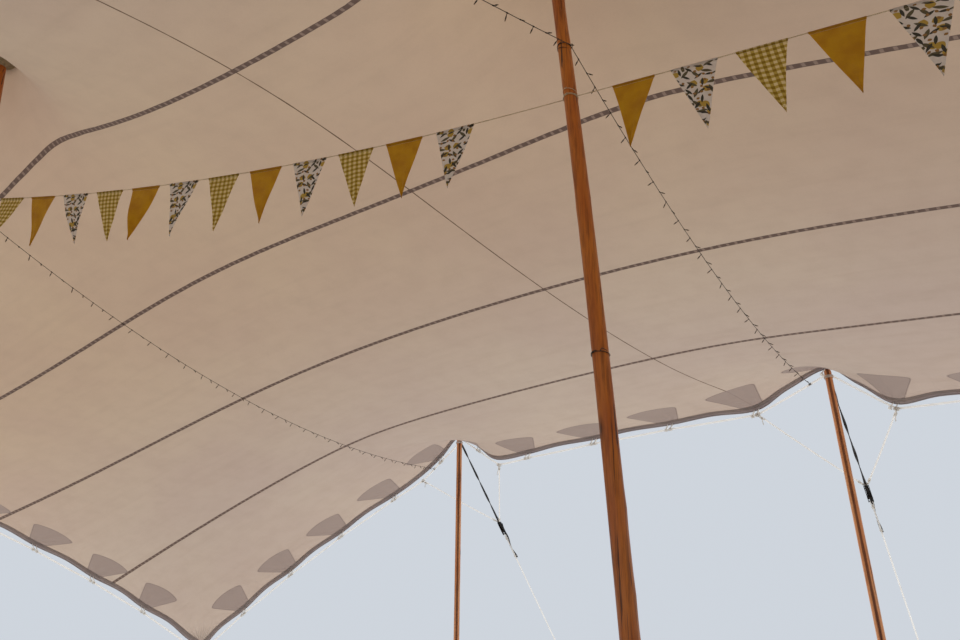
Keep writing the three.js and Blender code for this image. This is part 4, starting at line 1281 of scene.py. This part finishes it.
def grown():
    """Slight uneven growth of one round pole"""
    spots = [(chance.uniform(0.3, 4.6), chance.uniform(0, 6.28)) for _ in range(9)]
    waves = [(chance.uniform(0.6, 2.2), chance.uniform(0, 6.28), k) for k in (1, 2, 3)]

    def at(z, angle):
        swell = sum(math.sin(w * z + p + k * angle) for w, p, k in waves) * 0.0004
        for height, turned in spots:
            apart = math.cos(angle - turned)
            if apart > 0.6:
                swell += 0.0022 * math.exp(-((z - height) / 0.05) ** 2) * (apart - 0.6) / 0.4
        return swell
    return at


def round_pole(name, centre_at, radius_at, heights, sides, material, front):
    """A pole from rings at the given heights; the front is where its uv starts, and where a side pole's
    painted shade stripe runs
    """
    grow, first, rings = grown(), math.atan2(front[1], front[0]), []
    for z in heights:
        (x, y, _), radius = centre_at(z), radius_at(z)
        rings.append([])
        for a in round_angles(sides):
            a += first
            r = radius + (grow(z, a) if radius > 0.02 else 0)
            rings[-1].append((x + r * math.cos(a), y + r * math.sin(a), z))
    shape = Shape()
    shape.skin(rings, heights)
    return shape.build(name, material)


for n, peak in enumerate(PEAKS, 1):
    top, skin = main_pole_top(peak), (1 + math.cos(math.pi / 16)) / 2
    heights = [0.0, 0.004, *np.linspace(0.05, top - 0.004, 110), top]
    pole = round_pole(
        f"main_pole_{n}_timber", lambda z: main_pole_at(peak, z),
        lambda z: main_pole_radius(peak, z) * skin - (0.002 if z in (0.0, top) else 0),
        heights, 48, main_timber, (1, 0),
    )
    piece(pole, "timber", f"main_pole_{n}")
    cap_top = peak["top"] - 0.0043
    shape = Shape()
    shape.lathe(peak["apex"], [(r, cap_top + z) for r, z in CAP], 64)
    shape.ring((*peak["apex"][:2], cap_top - 0.122), Z, 0.0495, 40, 0.0032)
    piece(shape.build(f"main_pole_cap_{n}_padded", cap_material), "cap", f"main_pole_cap_{n}")

for pole in SIDE_POLES:
    shoulder, number = pole["shoulder"], pole["number"]
    heights = [0.0, 0.006, *np.linspace(0.06, shoulder, 60), *(shoulder + h for h in HEAD_LIFTS[1:])]
    made = round_pole(
        f"side_pole_{number}_timber", lambda z: side_pole_at(pole, min(z, shoulder)),
        lambda z: SIDE_POLE_R - (float(np.interp(z - shoulder, HEAD_LIFTS, HEAD_LESS)) if z else 0.002),
        # The front faces the camera for poles 1 to 4, so the painted shade stripe faces it
        heights, 28, side_timber_with_painted_shade, level_unit((CAMERA_AT if number <= 4 else (0, 0, 0)) - pole["head"]),
    )
    piece(made, "timber", f"side_pole_{number}")


def bindings():
    """Wire and string round the poles and the edge rope, where strings are tied"""
    dark, light = Shape(), Shape()
    tied = main_pole_at(pole_one, LIGHTS_TIED_AT + 0.010)
    string_low = main_pole_at(pole_one, BUNTING_LEFT["start"] + 0.002)
    string_high = main_pole_at(pole_one, BUNTING_LEFT["start"] + 0.045)
    knotted = main_pole_at(pole_one, LOW_BINDING_AT)
    at_pole_two = main_pole_at(pole_two, BUNTING_LEFT["end"])
    for shape, centre, radius, wire, turns, pitch, tilt in (
        (dark, tied, 0.0412, 0.0017, 1.5, 0.0060, (0.12, 0.04, 1)),
        (dark, tied - Z * 0.03, 0.0412, 0.0014, 1, 0.0090, (0.40, -0.1, 1)),
        (light, string_high, 0.0414, 0.0017, 1.5, 0.0075, (0.36, 0.10, 1)),
        (light, string_low, 0.0414, 0.0018, 2.5, 0.0062, (0.14, 0.05, 1)),
        (light, at_pole_two, 0.0408, 0.0026, 4, 0.0060, (0.05, 0.05, 1)),
        (dark, main_pole_at(pole_two, LIGHTS_ON_POLE_2), 0.0408, 0.0030, 4, 0.0070, (0.06, 0.04, 1)),
        (light, tie_right, SIDE_POLE_R, 0.0026, 4, 0.0060, (0.05, 0.02, 1)),
        (dark, knotted, 0.0424, 0.0020, 1.5, 0.0060, (0.06, 0.08, 1)),
    ):
        shape.wind(centre, tilt, radius + wire, turns, pitch, 26, wire)
    dark.tube(tied + np.array([(0.043, -0.014, -0.010), (0.065, -0.020, -0.024), (0.061, -0.018, -0.060),
                               (0.073, -0.022, -0.088)]), [0.0017, 0.0017, 0.0017, 0.0014])
    dark.tube(knotted + np.array([(0.020, -0.046, 0), (0.036, -0.058, 0.006), (0.060, -0.056, -0.012)]),
              [0.0022, 0.0022, 0.0016])
    for i, j, _ in LIGHT_TIES:
        way = rope_point(int(i) + 1, j) - rope_point(int(i), j)
        dark.wind(tied_to_edge(i, j, -EDGE_ROPE_R), way, EDGE_ROPE_R + 0.0026, 4, 0.0062, 26, 0.0022)
    piece(dark.build("cable_bindings", cable_material), "cable")
    piece(light.build("string_bindings", string_material), "flag")


bindings()

# Floor, sky and sun
FLOOR_HALF = 60
floor_corners = [(x * FLOOR_HALF, y * FLOOR_HALF, 0) for x, y in ((-1, -1), (1, -1), (1, 1), (-1, 1))]
floor_material = Look("pale floor").surface(srgb(196, 192, 184), 0.9)
new_mesh("floor", floor_corners, [(0, 1, 2, 3)], [floor_material], False)

world = bpy.data.worlds.new("soft light")
bpy.context.scene.world = world
world.use_nodes = True
background = world.node_tree.nodes["Background"]
background.inputs["Color"].default_value = (0.86, 0.92, 1.0, 1)
background.inputs["Strength"].default_value = 0.72

sun_data = bpy.data.lights.new("sun", "SUN")
sun_data.energy = 2.4
sun_data.angle = math.radians(25)
sun_data.color = (1.0, 0.96, 0.9)
sun = new_object("sun", sun_data)
sun.rotation_euler = (math.radians(-19), math.radians(-24), 0)
